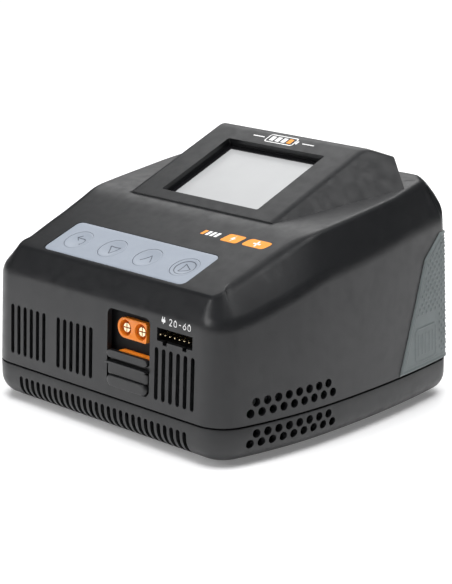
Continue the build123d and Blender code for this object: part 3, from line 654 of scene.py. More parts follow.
# %% [markdown]
# ## Collar behind the display, and bosses for the fan screws
#
# Moulded walls run inwards from the display opening to the panel, and each fan screw is seated in
# a short boss. They are plain rings, so each is one closed profile carried round its opening.

# %% Collar and bosses


def ring(name, face, outer, inner, top, bottom):
    """Closed band between two outlines of the same number of points, from top to bottom."""
    corners = ((outer, bottom), (outer, top), (inner, top), (inner, bottom))
    rows = np.stack([face.place(outline, height) for outline, height in corners])
    columns = np.arange(rows.shape[1])
    last, after = 3 * len(columns), np.roll(columns, -1)
    closing = np.stack([last + columns, last + after, after, columns], axis=-1)
    faces = np.vstack([grid_faces(4, len(columns), True), closing])
    return make_object(name, rows.reshape(-1, 3), faces)


COLLAR_WALL, COLLAR_TOP, COLLAR_FOOT = 1.8, -1.9, -3.3
BOSS_R, BOSS_BORE_R, BOSS_HEIGHT = 4.2, 1.7, 5.2
screen_x, screen_s, screen_w, screen_h = SCREEN
inside = rounded_rectangle(*SCREEN, 0.8)
screen_w, screen_h = screen_w + 2 * COLLAR_WALL, screen_h + 2 * COLLAR_WALL
outside = rounded_rectangle(screen_x, screen_s, screen_w, screen_h, 2)
collar = ring("collar", POD_FACE, outside, inside, COLLAR_TOP, COLLAR_FOOT)
bosses = []
for x, z in FAN_BOLTS:
    inside, outside = circle(x, z, BOSS_BORE_R), circle(x, z, BOSS_R)
    bosses.append(ring("boss", rear_wall(z), outside, inside, BOSS_HEIGHT, SEAT_HEIGHT))
shell = joined("upper_shell_skin", [shell, collar] + bosses)
smooth_by_angle(shell)
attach(shell, "case")
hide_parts("upper_shell")
print("shell with its collar", len(shell.data.polygons), "faces")

# %% [markdown]
# ## The tray
#
# The lower half is one profile carried round the same plan: flat bottom, a large round edge, a
# short wall, a locating lip that steps inwards, and the inner side back down to the floor. A row
# of slots is then cut across the round edge at the front, and round holes through the sides.

# %% Tray
TRAY_FLOOR_Z, TRAY_ROUND, SEAM_GAP = 1.5, 8.0, 0.7
LIP_IN, LIP_RISE = 1.25, 1.9
RIB_FIRST, RIB_PITCH, RIB_COUNT = -46.6, 3.4519, 28
RIB_W, RIB_H, RIB_MIDDLE_Z = 2.0, 12.6, 5.3
TRAY_HOLES = [(12.3, -48.9, 8), (8.65, -51.7, 9)]  # height, first y and how many
FEET = [(sx * 41.0, sy * 48.0) for sx in (-1, 1) for sy in (-1, 1)]
FOOT_SEAT_R, FOOT_SEAT_Z = 6.1, 2.1
CASE_POSTS = [(sx * 55.5, sy * 46.0) for sx in (-1, 1) for sy in (-1, 1)]
SCREW_SEAT_R, SCREW_SEAT_Z = 3.2, 5.0


def swept_round_plan(name, profile):
    """Closed surface: each (inset, height) of the profile becomes one ring of the plan moved in."""
    rows = [np.column_stack([PLAN - NORMAL * inset, np.full(len(PLAN), z)]) for inset, z in profile]
    return tube_of_rows(name, np.stack(rows))


def tray_profile():
    """Pairs of inset and height: the round outside, the rim and its lip, and the inside again."""
    angle = np.linspace(0, np.pi / 2, 9)
    outer = np.column_stack([1 - np.sin(angle), 1 - np.cos(angle)]) * TRAY_ROUND + [0, TRAY_FLOOR_Z]
    top, lip_top = SEAM_Z - SEAM_GAP, SEAM_Z + LIP_RISE
    rim = [(0, top - 0.35), (0.1, top - 0.1), (0.35, top)]
    lip = [(LIP_IN, top), (LIP_IN, lip_top), (WALL, lip_top)]
    inner = outer[::-1] * [0.725, 0.725] + [WALL, 2.6]
    return np.vstack([outer, rim, lip, inner])


tray = swept_round_plan("base_tray_skin", tray_profile())
upright_front = Face((0, FRONT_Y + 3, 0), 90)
tray_cuts = side_drills(TRAY_HOLES)
for i in range(RIB_COUNT):
    rib = rounded_rectangle(RIB_FIRST + RIB_PITCH * i, RIB_MIDDLE_Z, RIB_W, RIB_H, RIB_W / 2)
    tray_cuts.append(prism("rib", upright_front, rib, 6, -5.75))
for places, r, depth in ((FEET, FOOT_SEAT_R, FOOT_SEAT_Z), (CASE_POSTS, SCREW_SEAT_R, SCREW_SEAT_Z)):
    tray_cuts += [prism("seat", LEVEL, circle(x, y, r), depth, -1) for x, y in places]
boolean(tray, joined("tray_cutters", tray_cuts), "DIFFERENCE")
smooth_by_angle(tray)
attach(tray, "case")
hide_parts("base_tray")
print("tray", len(tray.data.polygons), "faces")

# %% [markdown]
# ## Rubber grips
#
# A grey rubber patch wraps each rear corner. It has a raised border, rows of small studs, and a
# plain ribbed panel near the bottom. The patch is a grid laid on the wall, and its height above
# the wall is one formula of the distance from its edges, so studs and border are real shape.

# %% Grip patch
GRIP_PROUD, GRIP_BOTTOM, GRIP_TOP = 0.8, 16.2, 67.8
GRIP_LEVELS, GRIP_FRONT_YS, GRIP_REAR_XS = [16, 59.2, 67.8], [29.4, 47.9, 59.5], [52, 56, 60]
STUD_PITCH, STUD_R = 2.35, 0.62
PANEL_Y, PANEL_Z, PANEL_W, PANEL_H = 47.6, 25.8, 15.2, 13.4


def corner_strip():
    """Points, outward normals and running length of the plan round the right rear corner."""
    keep = (PLAN[:, 0] > 30) & (PLAN[:, 1] > 15)
    points, normals = PLAN[keep], NORMAL[keep]
    length = np.concatenate([[0], np.cumsum(np.linalg.norm(np.diff(points, axis=0), axis=1))])
    return points, normals, length


def grip_grid(rows, cols, grow=0.0):
    """Grid of wall points, outward directions, running length s and the distance to the edge.

    Each level runs from the slanting front edge, where y is a function of the level, to the rear
    edge, where x is. A share t from 0 to 1 runs between the two along the plan."""
    points, normals, length = corner_strip()
    z = np.linspace(GRIP_BOTTOM - grow, GRIP_TOP + grow, rows)
    start = np.interp(np.interp(z, GRIP_LEVELS, GRIP_FRONT_YS) - grow, points[:, 1], length)
    rear = points[:, 1] > 66
    end = np.interp(-np.interp(z, GRIP_LEVELS, GRIP_REAR_XS) + grow, -points[rear, 0], length[rear])
    t = np.linspace(0, 1, cols)
    s = start[:, None] + (end - start)[:, None] * t
    xy = np.stack([np.interp(s, length, points[:, 0]), np.interp(s, length, points[:, 1])], axis=-1)
    out = np.stack([np.interp(s, length, normals[:, 0]), np.interp(s, length, normals[:, 1])], axis=-1)
    out /= np.linalg.norm(out, axis=-1, keepdims=True)
    level = np.broadcast_to(z[:, None], s.shape)
    xy = xy - out * ((level - SEAM_Z) * DRAFT)[..., None]
    slant = np.where(level < GRIP_LEVELS[1], 0.92, 0.6)
    to_front, to_rear = (s - start[:, None]) * slant, end[:, None] - s
    edge = np.minimum.reduce([to_front, to_rear, level - z[0], z[-1] - level])
    return xy, out, s, level, edge


def stud_height(s, z):
    """Domes on a diagonal lattice: height follows a circle of STUD_R round each lattice point."""
    a = (s + z) / STUD_PITCH / math.sqrt(2)
    b = (s - z) / STUD_PITCH / math.sqrt(2)
    away = np.hypot(a - np.round(a), b - np.round(b)) * STUD_PITCH
    return 0.4 * np.sqrt(np.clip(1 - (away / STUD_R) ** 2, 0, 1))


def line_bump(distance, half_width, height):
    """Rounded ridge: height times a bell of the distance from its middle line."""
    return height * np.exp(-((distance / half_width) ** 2))


def grip_height(s, z, edge, panel_s):
    """Height above the wall: field, rounded outer edge, raised border, inner line, studs and panel."""
    field = 0.45 - 0.55 * np.clip((0.4 - edge) / 0.4, 0, 1) ** 2
    border = 0.35 * np.clip((1.2 - edge) / 0.3, 0, 1)
    inner_line = line_bump(edge - 2.0, 0.24, 0.16)
    ds, dz = np.abs(s - panel_s), np.abs(z - PANEL_Z)
    qs, qz = ds - PANEL_W / 2 + 2, dz - PANEL_H / 2 + 2
    outside = np.hypot(np.maximum(qs, 0), np.maximum(qz, 0)) + np.minimum(np.maximum(qs, qz), 0) - 2
    panel = line_bump(outside, 0.26, 0.3)
    bars = np.abs((s - panel_s) - 2.6 * np.clip(np.round((s - panel_s) / 2.6), -2, 2))
    panel = panel + line_bump(bars, 0.3, 0.28) * (dz < 4.2)
    studs = stud_height(s, z) * (edge > 3.0) * (outside > 1.4) * ((z > 37.0) | (s > panel_s + 10))
    return field + border + inner_line + panel + studs


def grip_solid(name, rows, cols, top, bottom, grow=0.0):
    """Closed patch between two heights; top may be a number or a function of the grid."""
    xy, out, s, level, edge = grip_grid(rows, cols, grow)
    points, _, length = corner_strip()
    panel_s = np.interp(PANEL_Y, points[:, 1], length)
    lift = top(s, level, edge, panel_s) if callable(top) else np.full_like(s, top)
    upper = np.dstack([xy + out * lift[..., None], level])
    lower = np.dstack([xy + out * bottom, level])
    quads = grid_faces(rows, cols, False)
    index = np.arange(rows * cols).reshape(rows, cols)
    border = np.concatenate([index[0, :-1], index[:-1, -1], index[-1, :0:-1], index[:0:-1, 0]])
    after = np.roll(border, -1)
    count = rows * cols
    skirt = np.stack([border, border + count, after + count, after], axis=-1)
    faces = np.vstack([quads, quads[:, ::-1] + count, skirt])
    return make_object(name, np.vstack([upper.reshape(-1, 3), lower.reshape(-1, 3)]), faces)


def mirrored(obj, name):
    """Copy of the object on the other side of the middle, with its faces turned back outwards."""
    mesh = obj.data.copy()
    mesh.name = name
    mesh.transform(Matrix.Diagonal((-1, 1, 1, 1)))
    mesh.flip_normals()
    copy = bpy.data.objects.new(name, mesh)
    bpy.context.scene.collection.objects.link(copy)
    return copy


pocket = grip_solid("pocket", 24, 40, 4.0, -GRIP_PROUD, grow=0.15)
pockets = joined("pockets", [mirrored(pocket, "pocket_left"), pocket])
boolean(shell, pockets, "DIFFERENCE")
smooth_by_angle(shell)
grip_right = grip_solid("grip_right_rubber", 150, 155, grip_height, 0.05 - GRIP_PROUD)
grip_left = mirrored(grip_right, "grip_left_rubber")
for grip, node in ((grip_right, "grip_right"), (grip_left, "grip_left")):
    smooth_by_angle(grip, 50)
    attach(grip, "case")
    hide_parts(node)
print("grip", len(grip_right.data.polygons), "faces")

# %% [markdown]
# ## Keypad
#
# One sheet of soft silicone fills a shallow recess. It is a plate with a rounded edge, and a
# round well goes through it at each key.

# %% Keypad sheet
SHEET_TOP, SHEET_GAP, SHEET_EDGE = -0.1, 0.15, 0.3
CAP_R, HOLE_GAP, DISH = 5.95, 0.1, 0.85

sheet_outline = rounded_rectangle(*PAD[:2], PAD[2] - 2 * SHEET_GAP, PAD[3] - 2 * SHEET_GAP, 2.7)
sheet = plate("keypad_skin", SLOPE_FACE, sheet_outline, SHEET_TOP, -PAD_DEPTH, SHEET_EDGE)
boolean(sheet, joined("wells", key_prisms("well", CAP_R + HOLE_GAP, 1, -3, 64)), "DIFFERENCE")
smooth_by_angle(sheet)
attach(sheet, "case")
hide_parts("keypad_sheet")
print("keypad sheet", len(sheet.data.polygons), "faces")

# %% [markdown]
# ## Keys
#
# Each key is a round cap with a smooth dish for a fingertip, so a cap is a profile turned about
# the key's axis. The signs on the keys are thin printed lines that follow the dish, so they are
# ribbons laid on the same formula.

# %% Key caps and their signs
# Radius and height of the stem, the underside and the rim.
CAP_PROFILE = [(1.9, -4.2), (1.9, -1.9), (CAP_R, -1.85), (CAP_R, -0.35), (CAP_R - 0.08, -0.17)]
RIBBON_STEP, RIBBON_TOP, RIBBON_FOOT = 0.45, 0.03, -0.06


def dish_height(r):
    """Depth of the cap at radius r: a shallow bowl that is level with the sheet at its rim."""
    return SHEET_TOP - DISH * np.clip(1 - (r / (CAP_R - 0.25)) ** 2, 0, 1) ** 1.25


def key_cap(name, x):
    """Profile turned about the key's axis: stem, underside, rim and dish."""
    turn = circle(0, 0, 1, 64)
    r = np.linspace(CAP_R - 0.25, 0, 14)[:-1]
    profile = CAP_PROFILE + [(ri, float(dish_height(ri))) for ri in r]
    centre = np.array([x, KEY_S])
    rows = np.stack([SLOPE_FACE.place(centre + turn * ri, hi) for ri, hi in profile])
    return dome_of_rows(name, rows, SLOPE_FACE.place(centre, float(dish_height(0)))[0])


def ribbon(name, face, path, width, height, closed=False):
    """Flat printed line: the path is cut into short steps and given a width; height is a function
    of the place on the face, so the line lies on a curved surface too."""
    path = np.array(path, float)
    if closed:
        path = np.vstack([path, path[:1]])
    length = np.concatenate([[0], np.cumsum(np.linalg.norm(np.diff(path, axis=0), axis=1))])
    count = max(2, int(length[-1] / RIBBON_STEP))
    steps = np.union1d(np.linspace(0, length[-1], count), length)
    line = np.stack([np.interp(steps, length, path[:, k]) for k in (0, 1)], axis=1)
    forward = np.gradient(line, axis=0)
    if closed:
        forward[0] = forward[-1] = line[1] - line[-2]
    forward /= np.maximum(np.linalg.norm(forward, axis=1, keepdims=True), 1e-9)
    across = np.stack([-forward[:, 1], forward[:, 0]], axis=1) * width / 2
    left, right = line + across, line - across
    corners = ((left, RIBBON_TOP), (right, RIBBON_TOP), (right, RIBBON_FOOT), (left, RIBBON_FOOT))
    rows = [face.place(points, height(points) + lift) for points, lift in corners]
    return tube_of_rows(name, np.stack(rows, axis=1))


def arc(cx, cy, r, start, end, steps=24):
    """Points on a circle from one angle to another, in degrees."""
    a = np.radians(np.linspace(start, end, steps))
    return np.stack([cx + r * np.cos(a), cy + r * np.sin(a)], axis=1)


SIGNS = {
    "back": [np.vstack([[(2.6, -2.3)], arc(0.9, 0.0, 1.9, -65, 90), [(-2.4, 1.9)]]),
             np.array([(-0.9, 3.4), (-2.6, 1.9), (-0.9, 0.4)])],
    "down": [np.array([(-2.7, 1.9), (2.7, 1.9), (0, -2.6), (-2.7, 1.9)])],
    "up": [np.array([(-2.7, -1.8), (0, 2.4), (2.7, -1.8)])],
    "start": [arc(0, 0, 4.3, 0, 360, 49),
              np.array([(-1.6, -2.5), (-1.6, 2.5), (2.7, 0), (-1.6, -2.5)])],
}
SIGN_WIDTH = 0.36
keys, signs = {}, {}
for name, x in KEY_XS.items():
    keys[name] = smooth_by_angle(key_cap(f"key_{name}_cap", x), 50)
    centre = np.array([x, KEY_S])

    def on_dish(points, centre=centre):
        """Height of the dish of this key at the points."""
        return dish_height(np.linalg.norm(points - centre, axis=1))

    lines = [ribbon("line", SLOPE_FACE, path + centre, SIGN_WIDTH, on_dish) for path in SIGNS[name]]
    signs[name] = joined(f"key_{name}_sign", lines)
    for piece in (keys[name], signs[name]):
        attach(piece, "button_" + name)
    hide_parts("key_" + name)
print("keys", list(keys))

# %% [markdown]
# ## Port door
#
# A small shutter slides up over the battery ports. Its face has a tab at the top, then a ridge
# for a fingertip, a hollow and a low lip, each a plate with a soft edge. Two runners hold it
# behind the wall of the window.

# %% Port door
DOOR = (4.55, 27.4, 4.2, 18.2)  # left, right, low and high
DOOR_FOOT, DOOR_BACK, DOOR_MARGIN = -1.2, -1.0, 0.7
# Name, low, high, height above the front face, softness of the edge and corner radius.
RELIEF = [("tab", 15.35, DOOR[3], 0.55, 0.35, 1.5), ("ridge", 13.05, 13.95, 1.55, 0.25, 0.4),
          ("scoop", 8.6, 12.75, 0.1, 0.9, 0.8), ("lip", DOOR[2], 8.75, 0.95, 1.2, 2.4)]
RUNNER_MIDDLE, RUNNER_LENGTH, RUNNER_FOOT = 11.2, 9.0, -3.4


def door_plate(name, right, low, high, top, edge, r):
    """Plate from the left side of the door to right."""
    left = DOOR[0]
    outline = rounded_rectangle((left + right) / 2, (low + high) / 2, right - left, high - low, r)
    return plate(name, FRONT_FACE, outline, top, DOOR_FOOT, edge)


def door_pieces():
    """Back, the plates of the relief, and a web and a runner on each side."""
    x0, x1, h0, h1 = DOOR
    pieces = [door_plate("back", x1, h0, h1, DOOR_BACK, 0.1, 2.4)]
    pieces += [door_plate(name, x1 - DOOR_MARGIN, *row) for name, *row in RELIEF]
    for side, edge in ((-1, x0), (1, x1)):
        web = rounded_rectangle(edge - side * 0.45, RUNNER_MIDDLE, 0.9, RUNNER_LENGTH, 0.01, 1)
        runner = rounded_rectangle(edge + side * 0.05, RUNNER_MIDDLE, 1.9, RUNNER_LENGTH, 0.1, 1)
        pieces.append(prism("web", FRONT_FACE, web, DOOR_BACK, RUNNER_FOOT))
        pieces.append(prism("runner", FRONT_FACE, runner, -2.5, RUNNER_FOOT))
    return pieces


door = smooth_by_angle(joined("port_door_shutter", door_pieces()))
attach(door, "shutter")
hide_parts("port_door")
print("door", len(door.data.polygons), "faces")


# %% [markdown]
# ## Soft edges on small moulded parts
#
# The battery ports and the mains inlet have the right shape already, but their edges are sharp.
# A merged copy of each gets a narrow bevel, which catches the light as a moulded edge does.

# %% Softened copies
def softened(node, width, cutters=()):
    """Copy of a CAD node with its doubles merged, flat faces joined and its edges bevelled."""
    data = frame["nodes"][node].data.copy()
    mesh = bmesh.new()
    mesh.from_mesh(data)
    bmesh.ops.remove_doubles(mesh, verts=mesh.verts, dist=2e-6)
    bmesh.ops.dissolve_limit(mesh, angle_limit=math.radians(1), verts=mesh.verts, edges=mesh.edges)
    mesh.to_mesh(data)
    mesh.free()
    copy = bpy.data.objects.new(node + "_moulded", data)
    bpy.context.scene.collection.objects.link(copy)
    if cutters:
        boolean(copy, joined("mouths", cutters), "DIFFERENCE")
    bevel = copy.modifiers.new("edges", "BEVEL")
    bevel.width, bevel.segments, bevel.limit_method = width * MM, 2, "ANGLE"
    bevel.angle_limit = math.radians(40)
    bake_modifiers(copy)
    smooth_by_angle(copy, 35)
    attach(copy, "case")
    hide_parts(node)
    return copy


MOUTH_XS, MOUTH_HEIGHT, MOUTH_R = (12.35, 20.75), 27.5, 3.15
mouths = [prism("mouth", FRONT_FACE, circle(x, MOUTH_HEIGHT, MOUTH_R, 40), 1, -7) for x in MOUTH_XS]
small_port = softened("small_port_housing", 0.25, mouths)
large_port = softened("large_port_housing", 0.3)
inlet = softened("ac_inlet", 0.25)
print("softened", [o.name for o in (small_port, large_port, inlet)])

# %% [markdown]
# ## Balance socket pins
#
# Seven square pins stand in the socket. Each has a pyramid tip, which is a bright point from in
# front, so a pin is four rings of a square that shrink at the end.

# %% Pins
PIN_PITCH, PIN_SIZE, PINS_MIDDLE = 2.5, 0.64, 40.2


def pin(x):
    """Square pin: each ring is a share of its size and a height above the front face."""
    square = rounded_rectangle(0, 0, PIN_SIZE, PIN_SIZE, 0.05, 1)
    rings = [(1.0, -18.0), (1.0, -0.95), (0.75, -0.6), (0.4, -0.4)]
    centre = np.array([x, HEADER[1]])
    return tube_of_rows("pin", np.stack([FRONT_FACE.place(centre + square * k, h) for k, h in rings]))


pin_row = [pin(PINS_MIDDLE + PIN_PITCH * i) for i in range(-3, 4)]
pins = smooth_by_angle(joined("balance_pin_row", pin_row))
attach(pins, "case")
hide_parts("balance_pins")
print("pins", len(pins.data.polygons), "faces")

# %% [markdown]
# ## Printed marks
#
# The charger carries small pad-printed marks. Plain signs stand in for them: a battery outline
# above the display, two orange tabs and a row of dashes on the slope, and a plug sign with the
# range of cells above the balance socket. Each is a very thin mesh just above the plastic.

# %% Printed marks


def flat(points):
    """Height function of a flat face."""
    return np.zeros(len(points))


def slanted(cx, cy, w, h, lean, r=0.4):
    """Rounded rectangle whose top leans to the right by lean."""
    outline = rounded_rectangle(cx, cy, w, h, r, 3)
    return outline + np.stack([(outline[:, 1] - cy) / h * lean, np.zeros(len(outline))], axis=1)


def printed(name, face, outlines, lift=0.03):
    """Thin plates of ink, one for each outline, that stand lift above the face."""
    return [prism(name, face, outline, lift, -0.08) for outline in outlines]


BATTERY_H, DASH_H, TAB_XS, LABEL_H, PLUG_X = 51.75, 34.9, (32.4, 44.6), 35.1, 34.7
body = rounded_rectangle(-1.2, BATTERY_H, 15.0, 5.2, 1.0, 4)
white = [ribbon("battery", POD_FACE, body, 0.55, flat, closed=True)]
cells = [slanted(-6.0 + 3.2 * i, BATTERY_H, 2.3, 3.2, 0.0) for i in range(4)]
pole = rounded_rectangle(7.4, BATTERY_H, 1.0, 2.2, 0.3, 2)
white += printed("cell", POD_FACE, cells[:3] + [pole])
rules = [rounded_rectangle(side * 13.6 - 0.2, BATTERY_H, 6.4, 0.6, 0.3, 2) for side in (-1, 1)]
white += printed("rule", POD_FACE, rules)
dashes = [slanted(19.6 + 2.3 * i, DASH_H, 1.5, 2.9, 0.7, 0.2) for i in range(3)]
white += printed("dash", SLOPE_FACE, dashes)
bolt = np.array([(0.6, 2.0), (-1.3, -0.3), (-0.1, -0.3), (-0.6, -2.0), (1.3, 0.4), (0.1, 0.4)])
white += printed("bolt", SLOPE_FACE, [bolt * 0.95 + [TAB_XS[0], 35.0]], 0.05)
plus = [rounded_rectangle(TAB_XS[1], 35.2, w, h, 0.1, 1) for w, h in ((3.6, 0.8), (0.8, 3.6))]
white += printed("plus", SLOPE_FACE, plus, 0.05)
two = np.vstack([arc(0, 0.62, 0.6, 165, -35, 10), [(-0.62, -1.15), (0.66, -1.15)]])
six = np.vstack([[(0.55, 1.15)], arc(0.0, -0.4, 0.72, 160, 500, 18)])
white.append(ribbon("two", FRONT_FACE, two + [38.5, LABEL_H], 0.32, flat))
white.append(ribbon("to", FRONT_FACE, [(42.8, LABEL_H), (43.9, LABEL_H)], 0.32, flat))
white.append(ribbon("six", FRONT_FACE, six + [45.7, LABEL_H], 0.32, flat))
for cell_x in (40.9, 48.1):
    cell = rounded_rectangle(cell_x, LABEL_H - 0.15, 1.3, 1.9, 0.3, 2)
    white.append(ribbon("cell", FRONT_FACE, cell, 0.28, flat, closed=True))
    white += printed("pole", FRONT_FACE, [rounded_rectangle(cell_x, LABEL_H + 1.1, 0.6, 0.35, 0.1, 1)])
prongs = [rounded_rectangle(PLUG_X + dx, LABEL_H + 1.0, 0.35, 0.9, 0.1, 1) for dx in (-0.5, 0.5)]
white += printed("plug", FRONT_FACE, [rounded_rectangle(PLUG_X, LABEL_H, 2.0, 1.3, 0.5, 4)] + prongs)
lead = [(PLUG_X, LABEL_H - 0.5), (PLUG_X, LABEL_H - 1.2)]
white.append(ribbon("lead", FRONT_FACE, lead, 0.35, flat))
tabs = [slanted(TAB_XS[0], 35.0, 8.6, 5.2, 1.6, 1.0), slanted(TAB_XS[1], 35.2, 11.4, 5.0, 1.6, 1.6)]
orange = printed("tab", SLOPE_FACE, tabs)
orange += printed("dash", SLOPE_FACE, [slanted(17.2, DASH_H, 1.7, 2.9, 0.7, 0.2)])
orange += printed("cell", POD_FACE, cells[3:])
white_marks, orange_marks = joined("white_marks", white), joined("orange_marks", orange)
for piece in (white_marks, orange_marks):
    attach(piece, "case")
print("marks", len(white), len(orange))

# %% [markdown]
# ## Finishes
#
# Every finish starts from the same few nodes: a fine noise that is the mould's spark texture, a
# broad noise that shifts the colour a little, and a third that varies the gloss. Their scales are
# real sizes, because the patterns read the object's own coordinates in metres.

# %% One function for moulded and metal finishes


def finish(name, colour, rough, grain=0.35, depth=0.012, mottle=0.06, gloss_shift=0.05,
           metallic=0.0, specular=0.5, edge_highlight=None, glow=0.0):
    """Node material. The texture is grain mm wide and depth mm high.

    The colour varies by the share mottle either way and the roughness by gloss_shift. edge_highlight is
    the colour of a painted highlight laid on sharp convex edges, and glow is how strongly the colour
    shines by itself."""
    material = bpy.data.materials.new(name)
    material.use_nodes = True
    nodes, links = material.node_tree.nodes, material.node_tree.links
    shader = nodes["Principled BSDF"]
    place = nodes.new("ShaderNodeTexCoord").outputs["Object"]

    def noise(size_mm, detail):
        """Noise whose features are about this wide."""
        node = nodes.new("ShaderNodeTexNoise")
        node.inputs["Scale"].default_value = 1.0 / (size_mm * MM)
        node.inputs["Detail"].default_value = detail
        links.new(place, node.inputs["Vector"])
        return node.outputs["Fac"]

    def spread(value, low, high):
        """Noise value stretched so that its usual range runs from low to high."""
        node = nodes.new("ShaderNodeMapRange")
        node.inputs["From Min"].default_value, node.inputs["From Max"].default_value = 0.3, 0.7
        node.inputs["To Min"].default_value, node.inputs["To Max"].default_value = low, high
        links.new(value, node.inputs["Value"])
        return node.outputs["Result"]

    def mixed(factor, a, b):
        """Colour between a and b; either may be a colour or the output of a node."""
        node = nodes.new("ShaderNodeMix")
        node.data_type = "RGBA"
        links.new(factor, node.inputs["Factor"])
        for socket, value in ((node.inputs[6], a), (node.inputs[7], b)):
            if hasattr(value, "links"):
                links.new(value, socket)
            else:
                socket.default_value = (*value, 1)
        return node.outputs[2]

    dark = tuple(c * (1 - mottle) for c in colour)
    light = tuple(min(1.0, c * (1 + mottle)) for c in colour)
    shade = mixed(spread(noise(9.0, 3), 0, 1), dark, light)
    # Painted highlight: sharp convex edges, found by their pointiness, are painted a paler colour, as
    # if they caught the light.
    if edge_highlight:
        edges = nodes.new("ShaderNodeNewGeometry").outputs["Pointiness"]
        highlight_mask = nodes.new("ShaderNodeMapRange")
        highlight_mask.inputs["From Min"].default_value = 0.53
        highlight_mask.inputs["From Max"].default_value = 0.62
        links.new(edges, highlight_mask.inputs["Value"])
        shade = mixed(highlight_mask.outputs["Result"], shade, edge_highlight)
    links.new(shade, shader.inputs["Base Color"])
    roughness = spread(noise(4.0, 2), rough - gloss_shift, rough + gloss_shift)
    links.new(roughness, shader.inputs["Roughness"])
    bump = nodes.new("ShaderNodeBump")
    bump.inputs["Strength"].default_value = 1.0
    bump.inputs["Distance"].default_value = depth * MM
    links.new(noise(grain, 3), bump.inputs["Height"])
    links.new(bump.outputs["Normal"], shader.inputs["Normal"])
    shader.inputs["Metallic"].default_value = metallic
    shader.inputs["Specular IOR Level"].default_value = specular
    if glow:
        shader.inputs["Emission Color"].default_value = (*colour, 1)
        shader.inputs["Emission Strength"].default_value = glow
    return material


def dress(material, *objects):
    """Put the material in every slot of each object, or in a new slot where there is none."""
    for obj in objects:
        for slot in obj.material_slots:
            slot.material = material
        if not obj.material_slots:
            obj.data.materials.append(material)


# %% [markdown]
# ## The outside
#
# Charcoal plastic with a fine spark texture covers most of the charger. The grips are a lighter
# rubber with a painted highlight along its sharp edges, the keypad is smooth silicone, and the
# display glows faintly behind a glossy black border.

# %% Plastics, rubber and print
shell_finish = finish("charcoal_shell", (0.0125, 0.0130, 0.0142), 0.36, 0.28, 0.010, 0.05)
tray_finish = finish("charcoal_tray", (0.0145, 0.0150, 0.0160), 0.40, 0.28, 0.010, 0.05)
door_finish = finish("charcoal_door", (0.0120, 0.0125, 0.0135), 0.34, 0.28, 0.006, 0.05)
# The grip's paler edge colour is a painted highlight along its raised edges.
grip_finish = finish("grey_grip_rubber", (0.145, 0.168, 0.170), 0.5, 0.22, 0.010, 0.05,
                     edge_highlight=(0.25, 0.28, 0.28))
silicone = finish("keypad_silicone", (0.272, 0.302, 0.351), 0.50, 0.18, 0.004, 0.025)
sign_ink = finish("sign_ink", (0.075, 0.085, 0.105), 0.55, 0.2, 0.002)
white_ink = finish("white_ink", (0.80, 0.80, 0.80), 0.55, 0.2, 0.003, 0.02)
orange_ink = finish("orange_ink", (0.80, 0.30, 0.045), 0.50, 0.2, 0.003, 0.03)
port_orange = finish("port_orange_nylon", (0.86, 0.235, 0.018), 0.33, 0.2, 0.004, 0.04)
matt_black = finish("matt_black", (0.004, 0.004, 0.0045), 0.60, 0.3, 0.008, 0.1, specular=0.25)
satin_black = finish("satin_black", (0.014, 0.014, 0.015), 0.35, 0.3, 0.005, 0.1)
gloss_black = finish("screen_border_print", (0.006, 0.006, 0.007), 0.12, 2.0, 0.001, 0.1, 0.02)
screen_face = finish("screen_face", (0.37, 0.375, 0.38), 0.22, 0.35, 0.002, 0.015, 0.03, glow=0.12)
foot_rubber = finish("foot_rubber", (0.02, 0.02, 0.02), 0.75, 0.3, 0.02, 0.1)
dress(shell_finish, shell)
dress(tray_finish, tray)
dress(door_finish, door)
dress(grip_finish, grip_left, grip_right)
dress(silicone, sheet, *keys.values())
dress(sign_ink, *signs.values())
dress(white_ink, white_marks)
dress(orange_ink, orange_marks)
dress(port_orange, small_port, large_port)
dress(satin_black, inlet)
print("finishes for the outside", len(bpy.data.materials), "materials in the file")

# %% [markdown]
# ## Metals and the parts inside
#
# The rest of the pieces keep the shape of the working model. A table names a finish for each of
# their material slots, so each piece is dressed by the slot that its row in the record gives.

# %% Metals, boards and the parts inside
gold = finish("contact_gold", (0.95, 0.78, 0.50), 0.24, 0.5, 0.003, 0.08, 0.06, metallic=1.0)
steel = finish("bright_steel", (0.62, 0.62, 0.60), 0.30, 0.4, 0.003, 0.06, 0.06, metallic=1.0)
black_steel = finish("black_screw", (0.06, 0.06, 0.06), 0.38, 0.4, 0.005, 0.1, 0.06, metallic=0.7)
aluminium = finish("sink_aluminium", (0.68, 0.69, 0.70), 0.40, 0.6, 0.006, 0.05, 0.06, metallic=1.0)
solder_mask = finish("circuit_board", (0.016, 0.085, 0.035), 0.32, 1.2, 0.006, 0.12)
ferrite = finish("ferrite", (0.05, 0.05, 0.053), 0.60, 0.5, 0.02, 0.12)
tape = finish("winding_tape", (0.72, 0.48, 0.05), 0.35, 2.5, 0.01, 0.08)
copper = finish("copper_winding", (0.50, 0.17, 0.06), 0.30, 0.8, 0.08, 0.15, 0.08, metallic=0.9)
sleeve = finish("capacitor_sleeve", (0.018, 0.024, 0.05), 0.30, 0.6, 0.004, 0.08)
epoxy = finish("epoxy_package", (0.018, 0.018, 0.018), 0.55, 0.25, 0.01, 0.1)
film = finish("film_block", (0.45, 0.34, 0.06), 0.35, 0.8, 0.004, 0.06)
glass = finish("fuse_glass", (0.72, 0.78, 0.78), 0.10, 1.0, 0.002, 0.03, 0.03)
